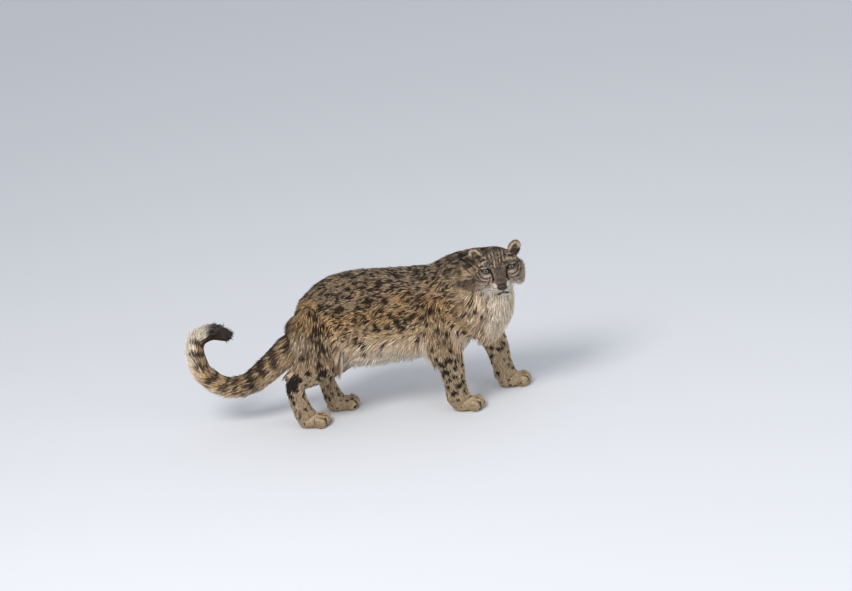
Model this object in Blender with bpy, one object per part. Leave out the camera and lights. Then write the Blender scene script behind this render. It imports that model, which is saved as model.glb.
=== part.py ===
"""A snow leopard that stands side-on with its head turned to the viewer, life size.

Metres, +Z up. +X runs towards the chest and +Y to the animal's left. The four paws stand on Z = 0.
The body is lofted, fused and smoothed as one form and then parted into its named nodes.
Long coat is made as flat tapered locks that are fused to the node they grow from.
"""

import math
import random

import bpy
import bmesh
from mathutils import Matrix, Vector
from mathutils.bvhtree import BVHTree

# Driving dimensions
BODY_HALF_WIDTH = 0.148
FORE_X = 0.205
HIND_X = -0.33
HEAD_CENTRE = Vector((0.470, -0.070, 0.594))
HEAD_YAW = math.radians(-78)
EYE_RADIUS = 0.0165
EYE_OUTWARD = math.radians(12)
EYE_SLANT = math.radians(9)
LID_HALF_WIDTH = 0.0145
LID_HALF_HEIGHT = 0.0100
LID_THICKNESS = 0.0030
EYE_SPREAD = 0.049
EYE_HEIGHT = 0.010
EYE_FORWARD = 0.053
PAW_LENGTH = 0.125
PAW_WIDTH = 0.098
PAW_HEIGHT = 0.062
PAW_TOP = 0.072
PAW_TURN = math.radians(6)
PAW_MIDDLE = (0.20, 0.40)
PALM_SHARES = (0.50, 0.44, 0.55)
TOES = 4
TOE_SHARES = (0.20, 0.165, 0.40)
TOE_REACH = 0.45
TOE_ARC = 0.10
TOE_SPREAD = 0.36
TOE_DROP = 0.04
TOE_FAN = math.radians(14)
LEG_TOP = 0.232

# The bounding box's middle, which becomes the origin
MIDDLE_X = -0.1675
MIDDLE_Y = -0.0154

# Fits and fineness
GAP = 0.0003
BODY_FUSE = (0.010, 14, 2000)
HEAD_FUSE = (0.004, 9, 1300)
PAW_FUSE = (0.005, 3, 320)
SMOOTH_FACTOR = 0.5
LOFT_STEPS = 4
TAIL_STEPS = 12
RING_SIDES = 28
TAIL_SIDES = 12
BIG_ELLIPSOID = (24, 14)
CUT_ELLIPSOID = (20, 12)
EAR_ELLIPSOID = (16, 10)
EYE_ELLIPSOID = (14, 8)
NOSTRIL_ELLIPSOID = (8, 5)
END_CAPS = ((0.45, 0.89), (0.80, 0.60))
SEED = 7

# Boxes and ellipsoids that part the nodes, as half sizes and middles
FLOOR_CUT = (0.4, 0.2, 0.1)
FOOT_AHEAD = 0.02
FOOT_HALVES = (0.11, 0.085, 0.060)
LEG_CUT_Y = 0.095
LEG_HALVES = (0.15, 0.088, 0.1)
LIMB_CUT_Y = 0.175
LIMB_CUT_HEIGHT = 0.375
SHOULDER_RADII = (0.125, 0.105, 0.17)
THIGH_RADII = (0.155, 0.110, 0.19)
TAIL_ROOT_HALVES = (0.13, 0.13, 0.15)
HEAD_HALVES = (0.25, 0.25, 0.2)
CHEST_HALVES = (0.4, 0.4, 0.3)

ROUGH = 0.95
WET = 0.15
DAMP = 0.45
COAT_GOLD = (0.52, 0.40, 0.26, 1.0)
COAT_CREAM = (0.72, 0.63, 0.50, 1.0)
COAT_GREY = (0.42, 0.36, 0.30, 1.0)
COAT_DARK = (0.10, 0.08, 0.07, 1.0)
NOSE_COLOUR = (0.16, 0.09, 0.08, 1.0)
EYE_COLOUR = (0.42, 0.46, 0.34, 1.0)

UP = Vector((0, 0, 1))
FORE_AFT = Vector((1, 0, 0))
SIDEWAYS = Vector((0, 1, 0))
SIDES = ((1, "left"), (-1, "right"))


# The trunk, neck and limbs, as rows of (x, y, z, half size along the section's axis, half size across)

TORSO = (
    (-0.372, 0, 0.405, 0.075, 0.075),
    (-0.330, 0, 0.424, 0.120, 0.108),
    (-0.255, 0, 0.438, 0.160, 0.132),
    (-0.160, 0, 0.444, 0.176, 0.137),
    (-0.040, 0, 0.436, 0.178, 0.144),
    (0.080, 0, 0.430, 0.176, BODY_HALF_WIDTH),
    (0.180, 0, 0.432, 0.172, BODY_HALF_WIDTH - 0.002),
    (0.270, 0, 0.436, 0.162, 0.136),
    (0.345, 0, 0.428, 0.132, 0.122),
    (0.392, 0, 0.420, 0.100, 0.100),
)
NECK = (
    (0.200, 0.000, 0.492, 0.112, 0.112),
    (0.290, 0.000, 0.526, 0.114, 0.106),
    (0.370, -0.004, 0.550, 0.104, 0.100),
    (0.440, -0.022, 0.572, 0.088, 0.090),
    (0.470, -0.060, 0.585, 0.078, 0.082),
)
THROAT = (
    (0.436, -0.044, 0.545, 0.052, 0.076),
    (0.434, -0.014, 0.480, 0.062, 0.090),
    (0.408, 0.000, 0.405, 0.076, 0.100),
    (0.364, 0.000, 0.345, 0.080, 0.096),
)
BELLY = (
    (-0.250, 0, 0.342, 0.082, 0.088),
    (-0.140, 0, 0.330, 0.090, 0.098),
    (0.000, 0, 0.332, 0.088, 0.102),
    (0.130, 0, 0.336, 0.088, 0.102),
    (0.250, 0, 0.348, 0.088, 0.096),
)
FORE_RIGHT = (
    (FORE_X - 0.005, -0.095, 0.470, 0.095, 0.060),
    (FORE_X - 0.015, -0.108, 0.370, 0.086, 0.058),
    (FORE_X - 0.008, -0.106, 0.275, 0.068, 0.050),
    (FORE_X + 0.006, -0.100, 0.190, 0.055, 0.046),
    (FORE_X + 0.006, -0.094, 0.110, 0.047, 0.042),
    (FORE_X + 0.010, -0.092, 0.055, 0.050, 0.046),
)
FORE_LEFT = (
    (FORE_X + 0.040, 0.095, 0.470, 0.092, 0.060),
    (FORE_X + 0.085, 0.108, 0.370, 0.084, 0.056),
    (FORE_X + 0.138, 0.112, 0.270, 0.064, 0.049),
    (FORE_X + 0.164, 0.112, 0.185, 0.052, 0.044),
    (FORE_X + 0.173, 0.112, 0.110, 0.045, 0.041),
    (FORE_X + 0.180, 0.112, 0.055, 0.047, 0.045),
)
HIND_RIGHT = (
    (HIND_X + 0.028, -0.086, 0.470, 0.098, 0.060),
    (HIND_X + 0.014, -0.104, 0.385, 0.108, 0.060),
    (HIND_X + 0.000, -0.106, 0.305, 0.098, 0.056),
    (HIND_X - 0.052, -0.098, 0.244, 0.074, 0.047),
    (HIND_X - 0.116, -0.090, 0.194, 0.046, 0.036),
    (HIND_X - 0.122, -0.088, 0.122, 0.040, 0.035),
    (HIND_X - 0.106, -0.088, 0.055, 0.044, 0.042),
)
HIND_LEFT = (
    (HIND_X + 0.045, 0.086, 0.470, 0.105, 0.060),
    (HIND_X + 0.066, 0.104, 0.380, 0.115, 0.060),
    (HIND_X + 0.078, 0.102, 0.300, 0.102, 0.056),
    (HIND_X + 0.046, 0.088, 0.225, 0.070, 0.046),
    (HIND_X - 0.024, 0.074, 0.165, 0.044, 0.035),
    (HIND_X - 0.022, 0.066, 0.110, 0.038, 0.034),
    (HIND_X - 0.008, 0.062, 0.055, 0.042, 0.040),
)
LEGS = {"fore_right": FORE_RIGHT, "fore_left": FORE_LEFT, "hind_right": HIND_RIGHT, "hind_left": HIND_LEFT}

# The tail's line with the coat's outer half size and the core's, from the rump to the tip
TAIL = (
    (-0.360, 0.000, 0.418, 0.068),
    (-0.440, 0.000, 0.342, 0.065),
    (-0.540, 0.002, 0.262, 0.060),
    (-0.645, 0.004, 0.196, 0.053),
    (-0.740, 0.002, 0.182, 0.048),
    (-0.822, -0.004, 0.230, 0.047),
    (-0.858, -0.010, 0.312, 0.045),
    (-0.846, -0.014, 0.392, 0.044),
    (-0.790, -0.018, 0.428, 0.039),
    (-0.742, -0.020, 0.423, 0.034),
)
TAIL_CORE = 0.70
TAIL_CUTS = (0.12, 0.30, 0.45, 0.60, 0.74, 0.87, 1.0)
TAIL_RINGS = 5
TAIL_TIP = ((0.85, 0.014), (0.50, 0.024))

# Locks of the long coat: (length, width, thickness), in metres
BELLY_LOCK = (0.085, 0.042, 0.010)
BIB_LOCK = (0.082, 0.040, 0.010)
FRINGE_LOCK = (0.075, 0.036, 0.009)
RUFF_LOCK = (0.044, 0.027, 0.006)
TAIL_LOCK = (0.076, 0.039, 0.009)
TAIL_LOCK_RINGS = 3
TAIL_LOCKS_ROUND = 5
LOCK_LIFT = 0.20
LOCK_SINK = 0.010
LOCK_CLEAR = 0.0006
LOCK_EDGE = 0.012
LOCK_FLOOR = 0.02
LOCK_BACK = 0.06
LOCK_ROOT_SHARES = (0.66, 1.0)
LOCK_STATIONS = (  # shares along, of the lift, of the drop, of the width and of the thickness
    (0.30, 0.55, 0.08, 1.0, 1.0),
    (0.66, 1.00, 0.42, 0.74, 0.7),
)
LOCK_TIP_LIFT = 1.05
LOCK_TRIES = 4
LOCK_SHORTER = 0.84
LOCK_UNEVEN = 0.14
LOCK_FLAT = 0.8
RAY_START = 0.5
UNEVEN = 0.008

# Where the locks grow: first place, step and number in each direction, with the lie of the coat
BELLY_X = (-0.230, 0.070, 8)
BELLY_Y = (-0.088, 0.044, 5)
BELLY_STAGGER = 0.020
BELLY_LIE = (-0.75, 0.8, -0.55)
BELLY_HANG = 0.30
BELLY_START_Z = 0.05
FLANK_X = (-0.250, 0.046, 11)
FLANK_Z = (0.292, 0.024, 2)
FLANK_LIE = (-0.62, 0.05, -0.78)
FLANK_HANG = 0.10
BIB_Z = (0.300, 0.040, 7)
BIB_Y = (-0.084, 0.042, 5)
BIB_STAGGER = 0.018
BIB_START_X = 0.70
BIB_TOP = 0.49
BIB_HANG = 0.08
BIB_FORWARD = 0.25
CHEST_LIE = (0.1, 0, -1)
CHEST_X = (0.345, 0.045, 2)
CHEST_Z = (0.305, 0.042, 4)
THIGHS = ("thigh_hind_left", "thigh_hind_right", "torso")
THIGH_Z = (0.27, 0.055, 3)
THIGH_Y = (0.075, 0.035, 3)
THIGH_START_X = -0.70
THIGH_LIE = (-0.45, 0, -0.9)
THIGH_HANG = 0.05
RUFF_X = (-0.016, 0.024, 3)
RUFF_Z = (-0.106, 0.024, 5)
RUFF_STAGGER = 0.012
RUFF_START_Y = 0.25
RUFF_WAY = (-0.10, -1, 0.10)
RUFF_LIE = (-0.50, 0.15, -0.85)
RUFF_HANG = 0.03
TAIL_LOCK_SPAN = (0.10, 0.74)
TAIL_LOCK_LENGTH = 0.5
TAIL_LOCK_SINK = 0.97
TAIL_LOCK_TWIST = 0.2
TAIL_LOCK_END = 0.99

# The head's masses in its own frame: +X to the nose, +Y to its left, +Z up, as (centre, radii)

SKULL = ((-0.015, 0, 0.006), (0.088, 0.082, 0.056))
FOREHEAD = ((0.032, 0, 0.018), (0.040, 0.054, 0.042))
BROW = ((0.040, 0.046, 0.030), (0.033, 0.036, 0.023))
CHEEKBONE = ((0.040, 0.050, -0.017), (0.036, 0.037, 0.030))
CHEEK = ((0.012, 0.056, -0.036), (0.052, 0.040, 0.044))
RUFF = ((-0.020, 0.060, -0.036), (0.046, 0.042, 0.050))
PAD = ((0.092, 0.022, -0.064), (0.031, 0.025, 0.021))
CHIN = ((0.082, 0, -0.087), (0.029, 0.029, 0.014))
JAW = ((0.032, 0, -0.068), (0.064, 0.050, 0.028))
MUZZLE = (
    (0.020, 0, -0.022, 0.048, 0.050),
    (0.064, 0, -0.038, 0.038, 0.042),
    (0.094, 0, -0.052, 0.028, 0.034),
    (0.107, 0, -0.056, 0.018, 0.026),
)
BRIDGE = (
    (0.034, 0, 0.016, 0.026, 0.028),
    (0.066, 0, 0.000, 0.023, 0.025),
    (0.094, 0, -0.024, 0.019, 0.022),
    (0.110, 0, -0.041, 0.012, 0.018),
)
NOSE = ((0.118, 0, -0.050), (0.012, 0.0195, 0.0125))
NOSTRIL = ((0.1285, 0.0095, -0.053), (0.006, 0.0044, 0.0034))
MOUTH = ((0.050, 0.049, -0.078), (0.076, 0.042, -0.084), (0.100, 0.028, -0.084), (0.116, 0.010, -0.079),
         (0.119, 0.0, -0.074))
MOUTH_DEPTH = 0.0022
MOUTH_STEPS = 3
MOUTH_SIDES = 6
LID_CLEAR = 0.0012
LID_STEPS = 14
LID_SIDES = 4
EYE_OPENING_AT = Vector((0.014, 0.003, 0))
EYE_OPENING = (0.016, 0.0145, 0.0095)
EAR_HOLLOW_AT = Vector((0.014, 0, -0.002))
EAR_AT = Vector((-0.020, 0.078, 0.052))
EAR_RADII = (0.019, 0.027, 0.036)
EAR_HOLLOW = (0.017, 0.021, 0.030)
EAR_LEAN = math.radians(32)
EAR_TURN = math.radians(20)
NECK_CUT_AT = Vector((0.412, -0.048, 0.575))
NECK_CUT_RUN = Vector((0.166, -0.786, 0.60)).normalized()
CHEST_CUT_AT = Vector((0.320, 0, 0.460))
CHEST_CUT_RUN = Vector((0.62, 0, 0.78)).normalized()


# Small tools for meshes

def clear_scene():
    """Starts from an empty scene."""
    for old in list(bpy.data.objects):
        bpy.data.objects.remove(old, do_unlink=True)


def finish(name, colour, roughness):
    """A plain finish for a node."""
    made = bpy.data.materials.new(name)
    made.use_nodes = True
    shader = made.node_tree.nodes["Principled BSDF"]
    shader.inputs["Base Color"].default_value = colour
    shader.inputs["Roughness"].default_value = roughness
    made.diffuse_color = colour
    return made


def link(name, mesh_tool):
    """A new object from a bmesh, which is freed."""
    mesh = bpy.data.meshes.new(name)
    mesh_tool.to_mesh(mesh)
    mesh_tool.free()
    made = bpy.data.objects.new(name, mesh)
    bpy.context.scene.collection.objects.link(made)
    return made


def apply_modifiers(thing):
    """Keeps the evaluated mesh as the object's own and drops its modifiers."""
    graph = bpy.context.evaluated_depsgraph_get()
    old = thing.data
    thing.data = bpy.data.meshes.new_from_object(thing.evaluated_get(graph))
    thing.modifiers.clear()
    bpy.data.meshes.remove(old)


def remove(*things):
    """Takes objects out of the scene for good."""
    for thing in things:
        bpy.data.objects.remove(thing, do_unlink=True)


def curve_through(rows, steps):
    """Rows of numbers on a smooth curve through the given rows, with steps between each two."""
    rows = [Vector(row) for row in rows]
    ends = [2 * rows[0] - rows[1], *rows, 2 * rows[-1] - rows[-2]]
    found = []
    for i in range(1, len(ends) - 2):
        a, b, c, d = ends[i - 1:i + 3]
        for k in range(steps):
            t = k / steps
            found.append(0.5 * (
                2 * b + (c - a) * t + (2 * a - 5 * b + 4 * c - d) * t ** 2
                + (3 * b - a - 3 * c + d) * t ** 3))
    found.append(rows[-1])
    return found


def frames_along(rows, towards):
    """The centre, run, first half axis and second half axis of each ring on a run of rows."""
    centres = [Vector(row[:3]) for row in rows]
    found = []
    for i, row in enumerate(rows):
        before, after = centres[max(i - 1, 0)], centres[min(i + 1, len(rows) - 1)]
        run = (after - before).normalized()
        first = (towards - towards.dot(run) * run).normalized()
        found.append((centres[i], run, first * row[3], run.cross(first) * row[4]))
    return found


def loft(rows, towards, steps=LOFT_STEPS, sides=RING_SIDES, round_ends=True):
    """A closed tube through rows of (x, y, z, half size along towards, half size across)."""
    frames = frames_along(curve_through(rows, steps), towards)
    if round_ends:
        for end, sign in ((0, -1), (-1, 1)):
            centre, run, first, second = frames[end]
            reach = (first.length + second.length) / 2
            caps = [(centre + run * sign * reach * out, run, first * size, second * size)
                    for out, size in END_CAPS]
            frames = caps[::-1] + frames if end == 0 else frames + caps
    return skin_of(frames, sides)


def skin_of(frames, sides):
    """A closed tube through frames of (centre, run, first half axis, second half axis)."""
    mesh_tool = bmesh.new()
    rings = []
    for centre, run, first, second in frames:
        turns = [2 * math.pi * k / sides for k in range(sides)]
        rings.append([mesh_tool.verts.new(centre + first * math.cos(a) + second * math.sin(a))
                      for a in turns])
    for low, high in zip(rings, rings[1:]):
        for k in range(sides):
            after = (k + 1) % sides
            mesh_tool.faces.new((low[k], low[after], high[after], high[k]))
    mesh_tool.faces.new(rings[0][::-1])
    mesh_tool.faces.new(rings[-1])
    bmesh.ops.recalc_face_normals(mesh_tool, faces=mesh_tool.faces)
    return link("loft", mesh_tool)


def ellipsoid(centre, radii, turn=None, fineness=BIG_ELLIPSOID):
    """A closed ellipsoid, with its mesh in place and its object at the origin."""
    mesh_tool = bmesh.new()
    bmesh.ops.create_uvsphere(mesh_tool, u_segments=fineness[0], v_segments=fineness[1], radius=1)
    place = Matrix.Translation(centre) @ (turn or Matrix.Identity(4)) @ Matrix.Diagonal((*radii, 1))
    bmesh.ops.transform(mesh_tool, matrix=place, verts=mesh_tool.verts)
    return link("ellipsoid", mesh_tool)


def box(centre, halves, turn=None):
    """A closed box with half sizes along its own axes."""
    mesh_tool = bmesh.new()
    bmesh.ops.create_cube(mesh_tool, size=2)
    place = Matrix.Translation(centre) @ (turn or Matrix.Identity(4)) @ Matrix.Diagonal((*halves, 1))
    bmesh.ops.transform(mesh_tool, matrix=place, verts=mesh_tool.verts)
    return link("box", mesh_tool)


def joined(name, things):
    """One object that holds all the meshes, still as separate bodies."""
    mesh_tool = bmesh.new()
    for thing in things:
        mesh_tool.from_mesh(thing.data)
    remove(*things)
    return link(name, mesh_tool)


def fused(name, things, fineness):
    """Overlapping bodies made one: remeshed to a voxel, smoothed, and thinned to a number of triangles."""
    voxel, smoothing, triangles = fineness
    whole = joined(name, things)
    remesh = whole.modifiers.new("Fuse", "REMESH")
    remesh.mode = "VOXEL"
    remesh.voxel_size = voxel
    soften = whole.modifiers.new("Soften", "SMOOTH")
    soften.factor = SMOOTH_FACTOR
    soften.iterations = smoothing
    apply_modifiers(whole)
    thin = whole.modifiers.new("Thin", "DECIMATE")
    thin.ratio = triangles / (2 * len(whole.data.polygons))
    apply_modifiers(whole)
    return whole


def boolean(thing, operation, cutter, keep=False, solver="EXACT"):
    """Applies one Boolean and removes the cutter, unless it is kept."""
    change = thing.modifiers.new(operation, "BOOLEAN")
    change.operation = operation
    change.solver = solver
    change.object = cutter
    apply_modifiers(thing)
    if not keep:
        remove(cutter)


def keep_largest(thing):
    """Drops all but the largest closed surface."""
    mesh_tool = bmesh.new()
    mesh_tool.from_mesh(thing.data)
    left, groups = set(mesh_tool.verts), []
    while left:
        group, edge = set(), [left.pop()]
        while edge:
            here = edge.pop()
            group.add(here)
            for line in here.link_edges:
                other = line.other_vert(here)
                if other in left:
                    left.remove(other)
                    edge.append(other)
        groups.append(group)
    groups.sort(key=len, reverse=True)
    bmesh.ops.delete(mesh_tool, geom=[v for group in groups[1:] for v in group], context="VERTS")
    mesh_tool.to_mesh(thing.data)
    mesh_tool.free()


def copy_of(thing, name):
    """A second object with its own copy of the mesh."""
    made = bpy.data.objects.new(name, thing.data.copy())
    bpy.context.scene.collection.objects.link(made)
    return made


def grown(thing, by):
    """A copy with every point moved out along its normal."""
    made = copy_of(thing, "grown")
    normals = [v.normal.copy() for v in made.data.vertices]
    for vertex, normal in zip(made.data.vertices, normals):
        vertex.co += normal * by
    return made


def part_off(whole, name, cutter):
    """Takes what lies inside the cutter off the whole as a new node, with a thin gap between them."""
    piece = copy_of(whole, name)
    boolean(piece, "INTERSECT", cutter, keep=True)
    keep_largest(piece)
    wide = grown(cutter, GAP)
    boolean(whole, "DIFFERENCE", wide)
    keep_largest(whole)
    remove(cutter)
    return piece


def tree_of(thing):
    """The mesh as a tree that answers nearest-point, ray and overlap questions."""
    mesh = thing.data
    return BVHTree.FromPolygons([v.co for v in mesh.vertices], [tuple(p.vertices) for p in mesh.polygons])


def body_form():
    """Trunk, neck and legs down to the paws as one soft form."""
    tail_root = [(x, y, z, size * TAIL_CORE, size * TAIL_CORE) for x, y, z, size in TAIL[:3]]
    pieces = [loft(TORSO, UP), loft(NECK, UP), loft(BELLY, UP), loft(THROAT, FORE_AFT),
              loft(tail_root, SIDEWAYS)]
    pieces += head_back()
    pieces += [loft(rows, FORE_AFT) for rows in LEGS.values()]
    return fused("torso", pieces, BODY_FUSE)


def paw_forms(rows, side):
    """The broad paw under a leg: the palm and four toes in an arc."""
    turn = Matrix.Rotation(side * PAW_TURN, 4, "Z")
    scale = Vector((PAW_LENGTH, PAW_WIDTH, PAW_HEIGHT))
    at = Vector((rows[-1][0] + PAW_LENGTH * PAW_MIDDLE[0], rows[-1][1], PAW_HEIGHT * PAW_MIDDLE[1]))
    found = [ellipsoid(at, scale * Vector(PALM_SHARES), turn)]
    for k in range(TOES):
        spread = 2 * k / (TOES - 1) - 1
        reach = TOE_REACH - TOE_ARC * spread ** 2
        offset = turn @ (scale * Vector((reach, TOE_SPREAD * spread, -TOE_DROP)))
        toe_turn = Matrix.Rotation(TOE_FAN * spread, 4, "Z") @ turn
        found.append(ellipsoid(at + offset, scale * Vector(TOE_SHARES), toe_turn))
    return found + [loft(rows[-3:], FORE_AFT)]


def head_matrix():
    """From the head's own frame to the animal's."""
    return Matrix.Translation(HEAD_CENTRE) @ Matrix.Rotation(HEAD_YAW, 4, "Z")


def both(mass):
    """A mass at one side of the head and its mirror at the other."""
    (x, y, z), radii = mass
    return [((x, side * y, z), radii) for side in (1, -1)]


def head_back():
    """The masses of the head that reach back to the neck, in place."""
    pieces = [ellipsoid(centre, radii) for centre, radii in (SKULL, JAW, *both(CHEEK), *both(RUFF))]
    for piece in pieces:
        piece.data.transform(head_matrix())
    return pieces


def head_form():
    """The whole head, still joined to the neck."""
    masses = [FOREHEAD, CHIN, *both(BROW), *both(CHEEKBONE), *both(PAD)]
    pieces = [ellipsoid(centre, radii) for centre, radii in masses]
    pieces += [loft(MUZZLE, UP), loft(BRIDGE, UP)]
    place = head_matrix()
    for piece in pieces:
        piece.data.transform(place)
    pieces += [*head_back(), loft(NECK, UP)]
    return fused("head", pieces, HEAD_FUSE)


def slab(at, run, halves):
    """A box whose one face passes through a point, on the side that run points to."""
    turn = run.to_track_quat("Z", "Y").to_matrix().to_4x4()
    return box(at + run * halves[2], halves, turn)


def mouth_groove(surface, place):
    """A thin tube along the mouth line, pulled on to a surface, to be cut from it."""
    tree = tree_of(surface)
    points = [*MOUTH, *[(x, -y, z) for x, y, z in MOUTH[-2::-1]]]
    line = [tree.find_nearest(place @ point)[0] for point in curve_through(points, MOUTH_STEPS)]
    return loft([(*point, MOUTH_DEPTH, MOUTH_DEPTH) for point in line], UP, 1, MOUTH_SIDES, False)


def eye_centre(side):
    """The middle of an eyeball in the head's frame."""
    return Vector((EYE_FORWARD, side * EYE_SPREAD, EYE_HEIGHT))


def lid_ring(side, place):
    """The rim of the lids: a ring that lies on a sphere just over the eyeball."""
    turn = (Matrix.Translation(eye_centre(side)) @ Matrix.Rotation(side * EYE_OUTWARD, 4, "Z")
            @ Matrix.Rotation(side * EYE_SLANT, 4, "X"))
    over = EYE_RADIUS + LID_CLEAR
    line = []
    for k in range(LID_STEPS):
        angle = 2 * math.pi * k / LID_STEPS
        y, z = LID_HALF_WIDTH * math.cos(angle), LID_HALF_HEIGHT * math.sin(angle)
        line.append(Vector((math.sqrt(over ** 2 - y * y - z * z), y, z)))
    mesh_tool = bmesh.new()
    rings = []
    for k, point in enumerate(line):
        run = (line[(k + 1) % LID_STEPS] - line[k - 1]).normalized()
        first = point.normalized()
        second = run.cross(first)
        ring = []
        for j in range(LID_SIDES):
            angle = 2 * math.pi * j / LID_SIDES
            offset = LID_THICKNESS * (first * math.cos(angle) + second * math.sin(angle))
            ring.append(mesh_tool.verts.new(place @ turn @ (point + offset)))
        rings.append(ring)
    for k in range(LID_STEPS):
        low, high = rings[k], rings[(k + 1) % LID_STEPS]
        for j in range(LID_SIDES):
            after = (j + 1) % LID_SIDES
            mesh_tool.faces.new((low[j], low[after], high[after], high[j]))
    bmesh.ops.recalc_face_normals(mesh_tool, faces=mesh_tool.faces)
    return link("lid", mesh_tool)


def make_eye(head, side, name, place):
    """Cuts one socket with lids round it and returns the eyeball that sits in it."""
    at = eye_centre(side) + Vector((EYE_OPENING_AT.x, side * EYE_OPENING_AT.y, 0))
    slant = Matrix.Rotation(side * EYE_SLANT, 4, "X")
    opening = ellipsoid(at, EYE_OPENING, slant, EYE_ELLIPSOID)
    opening.data.transform(place)
    boolean(head, "DIFFERENCE", opening)
    boolean(head, "UNION", lid_ring(side, place))
    socket = ellipsoid(eye_centre(side), [EYE_RADIUS + GAP] * 3, None, EYE_ELLIPSOID)
    socket.data.transform(place)
    boolean(head, "DIFFERENCE", socket)
    eye = ellipsoid(eye_centre(side), [EYE_RADIUS] * 3, None, EYE_ELLIPSOID)
    eye.data.transform(place)
    eye.name = "eye_" + name
    return eye


def make_nose(head, place):
    """Seats the nose pad in the head and returns it, with its nostrils."""
    nose = ellipsoid(NOSE[0], NOSE[1], None, EYE_ELLIPSOID)
    socket = ellipsoid(NOSE[0], [radius + GAP for radius in NOSE[1]], None, EYE_ELLIPSOID)
    for centre, radii in both(NOSTRIL):
        boolean(nose, "DIFFERENCE", ellipsoid(centre, radii, None, NOSTRIL_ELLIPSOID))
    nose.data.transform(place)
    socket.data.transform(place)
    boolean(head, "DIFFERENCE", socket)
    nose.name = "nose"
    return nose


def make_ear(head, side, name, place):
    """A hollow cup of an ear that ends just over the head."""
    turn = Matrix.Rotation(side * EAR_TURN, 4, "Z") @ Matrix.Rotation(-side * EAR_LEAN, 4, "X")
    at = Vector((EAR_AT.x, side * EAR_AT.y, EAR_AT.z))
    ear = ellipsoid(at, EAR_RADII, turn, EAR_ELLIPSOID)
    hollow = ellipsoid(at + turn @ EAR_HOLLOW_AT, EAR_HOLLOW, turn, EAR_ELLIPSOID)
    ear.data.transform(place)
    hollow.data.transform(place)
    boolean(ear, "DIFFERENCE", hollow)
    boolean(ear, "DIFFERENCE", grown(head, GAP))
    keep_largest(ear)
    ear.name = "ear_" + name
    return ear


def make_head(nodes):
    """Head with lids, mouth line and sockets, and its ears, eyes and nose as nodes of their own."""
    place = head_matrix()
    head = head_form()
    boolean(head, "DIFFERENCE", slab(NECK_CUT_AT + NECK_CUT_RUN * GAP, -NECK_CUT_RUN, CHEST_HALVES))
    keep_largest(head)
    found = [make_eye(head, side, name, place) for side, name in SIDES]
    boolean(head, "DIFFERENCE", mouth_groove(head, place))
    found.append(make_nose(head, place))
    keep_largest(head)
    found += [make_ear(head, side, name, place) for side, name in SIDES]
    nodes.update({thing.name: thing for thing in found})
    nodes["head"] = head


def tail_frame(share, swell=1.0, slide=0.0):
    """The frame of the tail's section at a share of its length, made larger or slid along the run."""
    line = curve_through(TAIL, TAIL_STEPS)
    spot = min(max(share, 0.0), 1.0) * (len(line) - 1)
    k = min(int(spot), len(line) - 2)
    here = line[k].lerp(line[k + 1], spot - k)
    before, after = line[max(k - 2, 0)], line[min(k + 3, len(line) - 1)]
    run = (after.xyz - before.xyz).normalized()
    first = (SIDEWAYS - SIDEWAYS.dot(run) * run).normalized()
    half = here.w * TAIL_CORE * swell
    return here.xyz + run * slide, run, first * half, run.cross(first) * half


def make_tail(nodes):
    """The tail in lengths, each a short tube with flat ends that all but meet."""
    for i, (low, high) in enumerate(zip(TAIL_CUTS, TAIL_CUTS[1:])):
        frames = [tail_frame(low + (high - low) * k / TAIL_RINGS) for k in range(TAIL_RINGS + 1)]
        frames[0] = tail_frame(low, slide=GAP / 2)
        if high < 1:
            frames[-1] = tail_frame(high, slide=-GAP / 2)
        else:
            frames += [tail_frame(1, swell, slide) for swell, slide in TAIL_TIP]
        piece = skin_of(frames, TAIL_SIDES)
        piece.name = f"tail_{i + 1}"
        nodes[piece.name] = piece


def make_paw(name, rows, side, y):
    """One paw with a flat sole on the floor and a flat top under the leg."""
    x = rows[-1][0]
    paw = fused("paw_" + name, paw_forms(rows, side), PAW_FUSE)
    boolean(paw, "DIFFERENCE", box((x, y, -FLOOR_CUT[2]), FLOOR_CUT))
    boolean(paw, "DIFFERENCE", box((x, y, PAW_TOP - GAP + FLOOR_CUT[2]), FLOOR_CUT))
    keep_largest(paw)
    return paw


def make_body(nodes):
    """Trunk, neck and legs, parted from one form."""
    body = body_form()
    at, run = tail_frame(TAIL_CUTS[0])[:2]
    boolean(body, "DIFFERENCE", slab(at - run * GAP / 2, run, TAIL_ROOT_HALVES))
    boolean(body, "DIFFERENCE", slab(NECK_CUT_AT, NECK_CUT_RUN, HEAD_HALVES))
    keep_largest(body)
    for name, rows in LEGS.items():
        side = 1 if rows[0][1] > 0 else -1
        y = side * LEG_CUT_Y
        foot = box((rows[-1][0] + FOOT_AHEAD, y, PAW_TOP - FOOT_HALVES[2]), FOOT_HALVES)
        remove(part_off(body, "foot", foot))
        nodes["paw_" + name] = make_paw(name, rows, side, y)
        middle = (rows[-1][0] + rows[-4][0]) / 2
        cutter = box((middle, y, LEG_TOP - LEG_HALVES[2]), LEG_HALVES)
        nodes["leg_" + name] = part_off(body, "leg_" + name, cutter)
        kind, radii = ("shoulder_", SHOULDER_RADII) if name.startswith("fore") else ("thigh_", THIGH_RADII)
        at = Vector((rows[1][0], side * LIMB_CUT_Y, LIMB_CUT_HEIGHT))
        nodes[kind + name] = part_off(body, kind + name, ellipsoid(at, radii, None, CUT_ELLIPSOID))
    nodes["neck"] = part_off(body, "neck", slab(CHEST_CUT_AT, CHEST_CUT_RUN, CHEST_HALVES))
    nodes["torso"] = body


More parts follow.
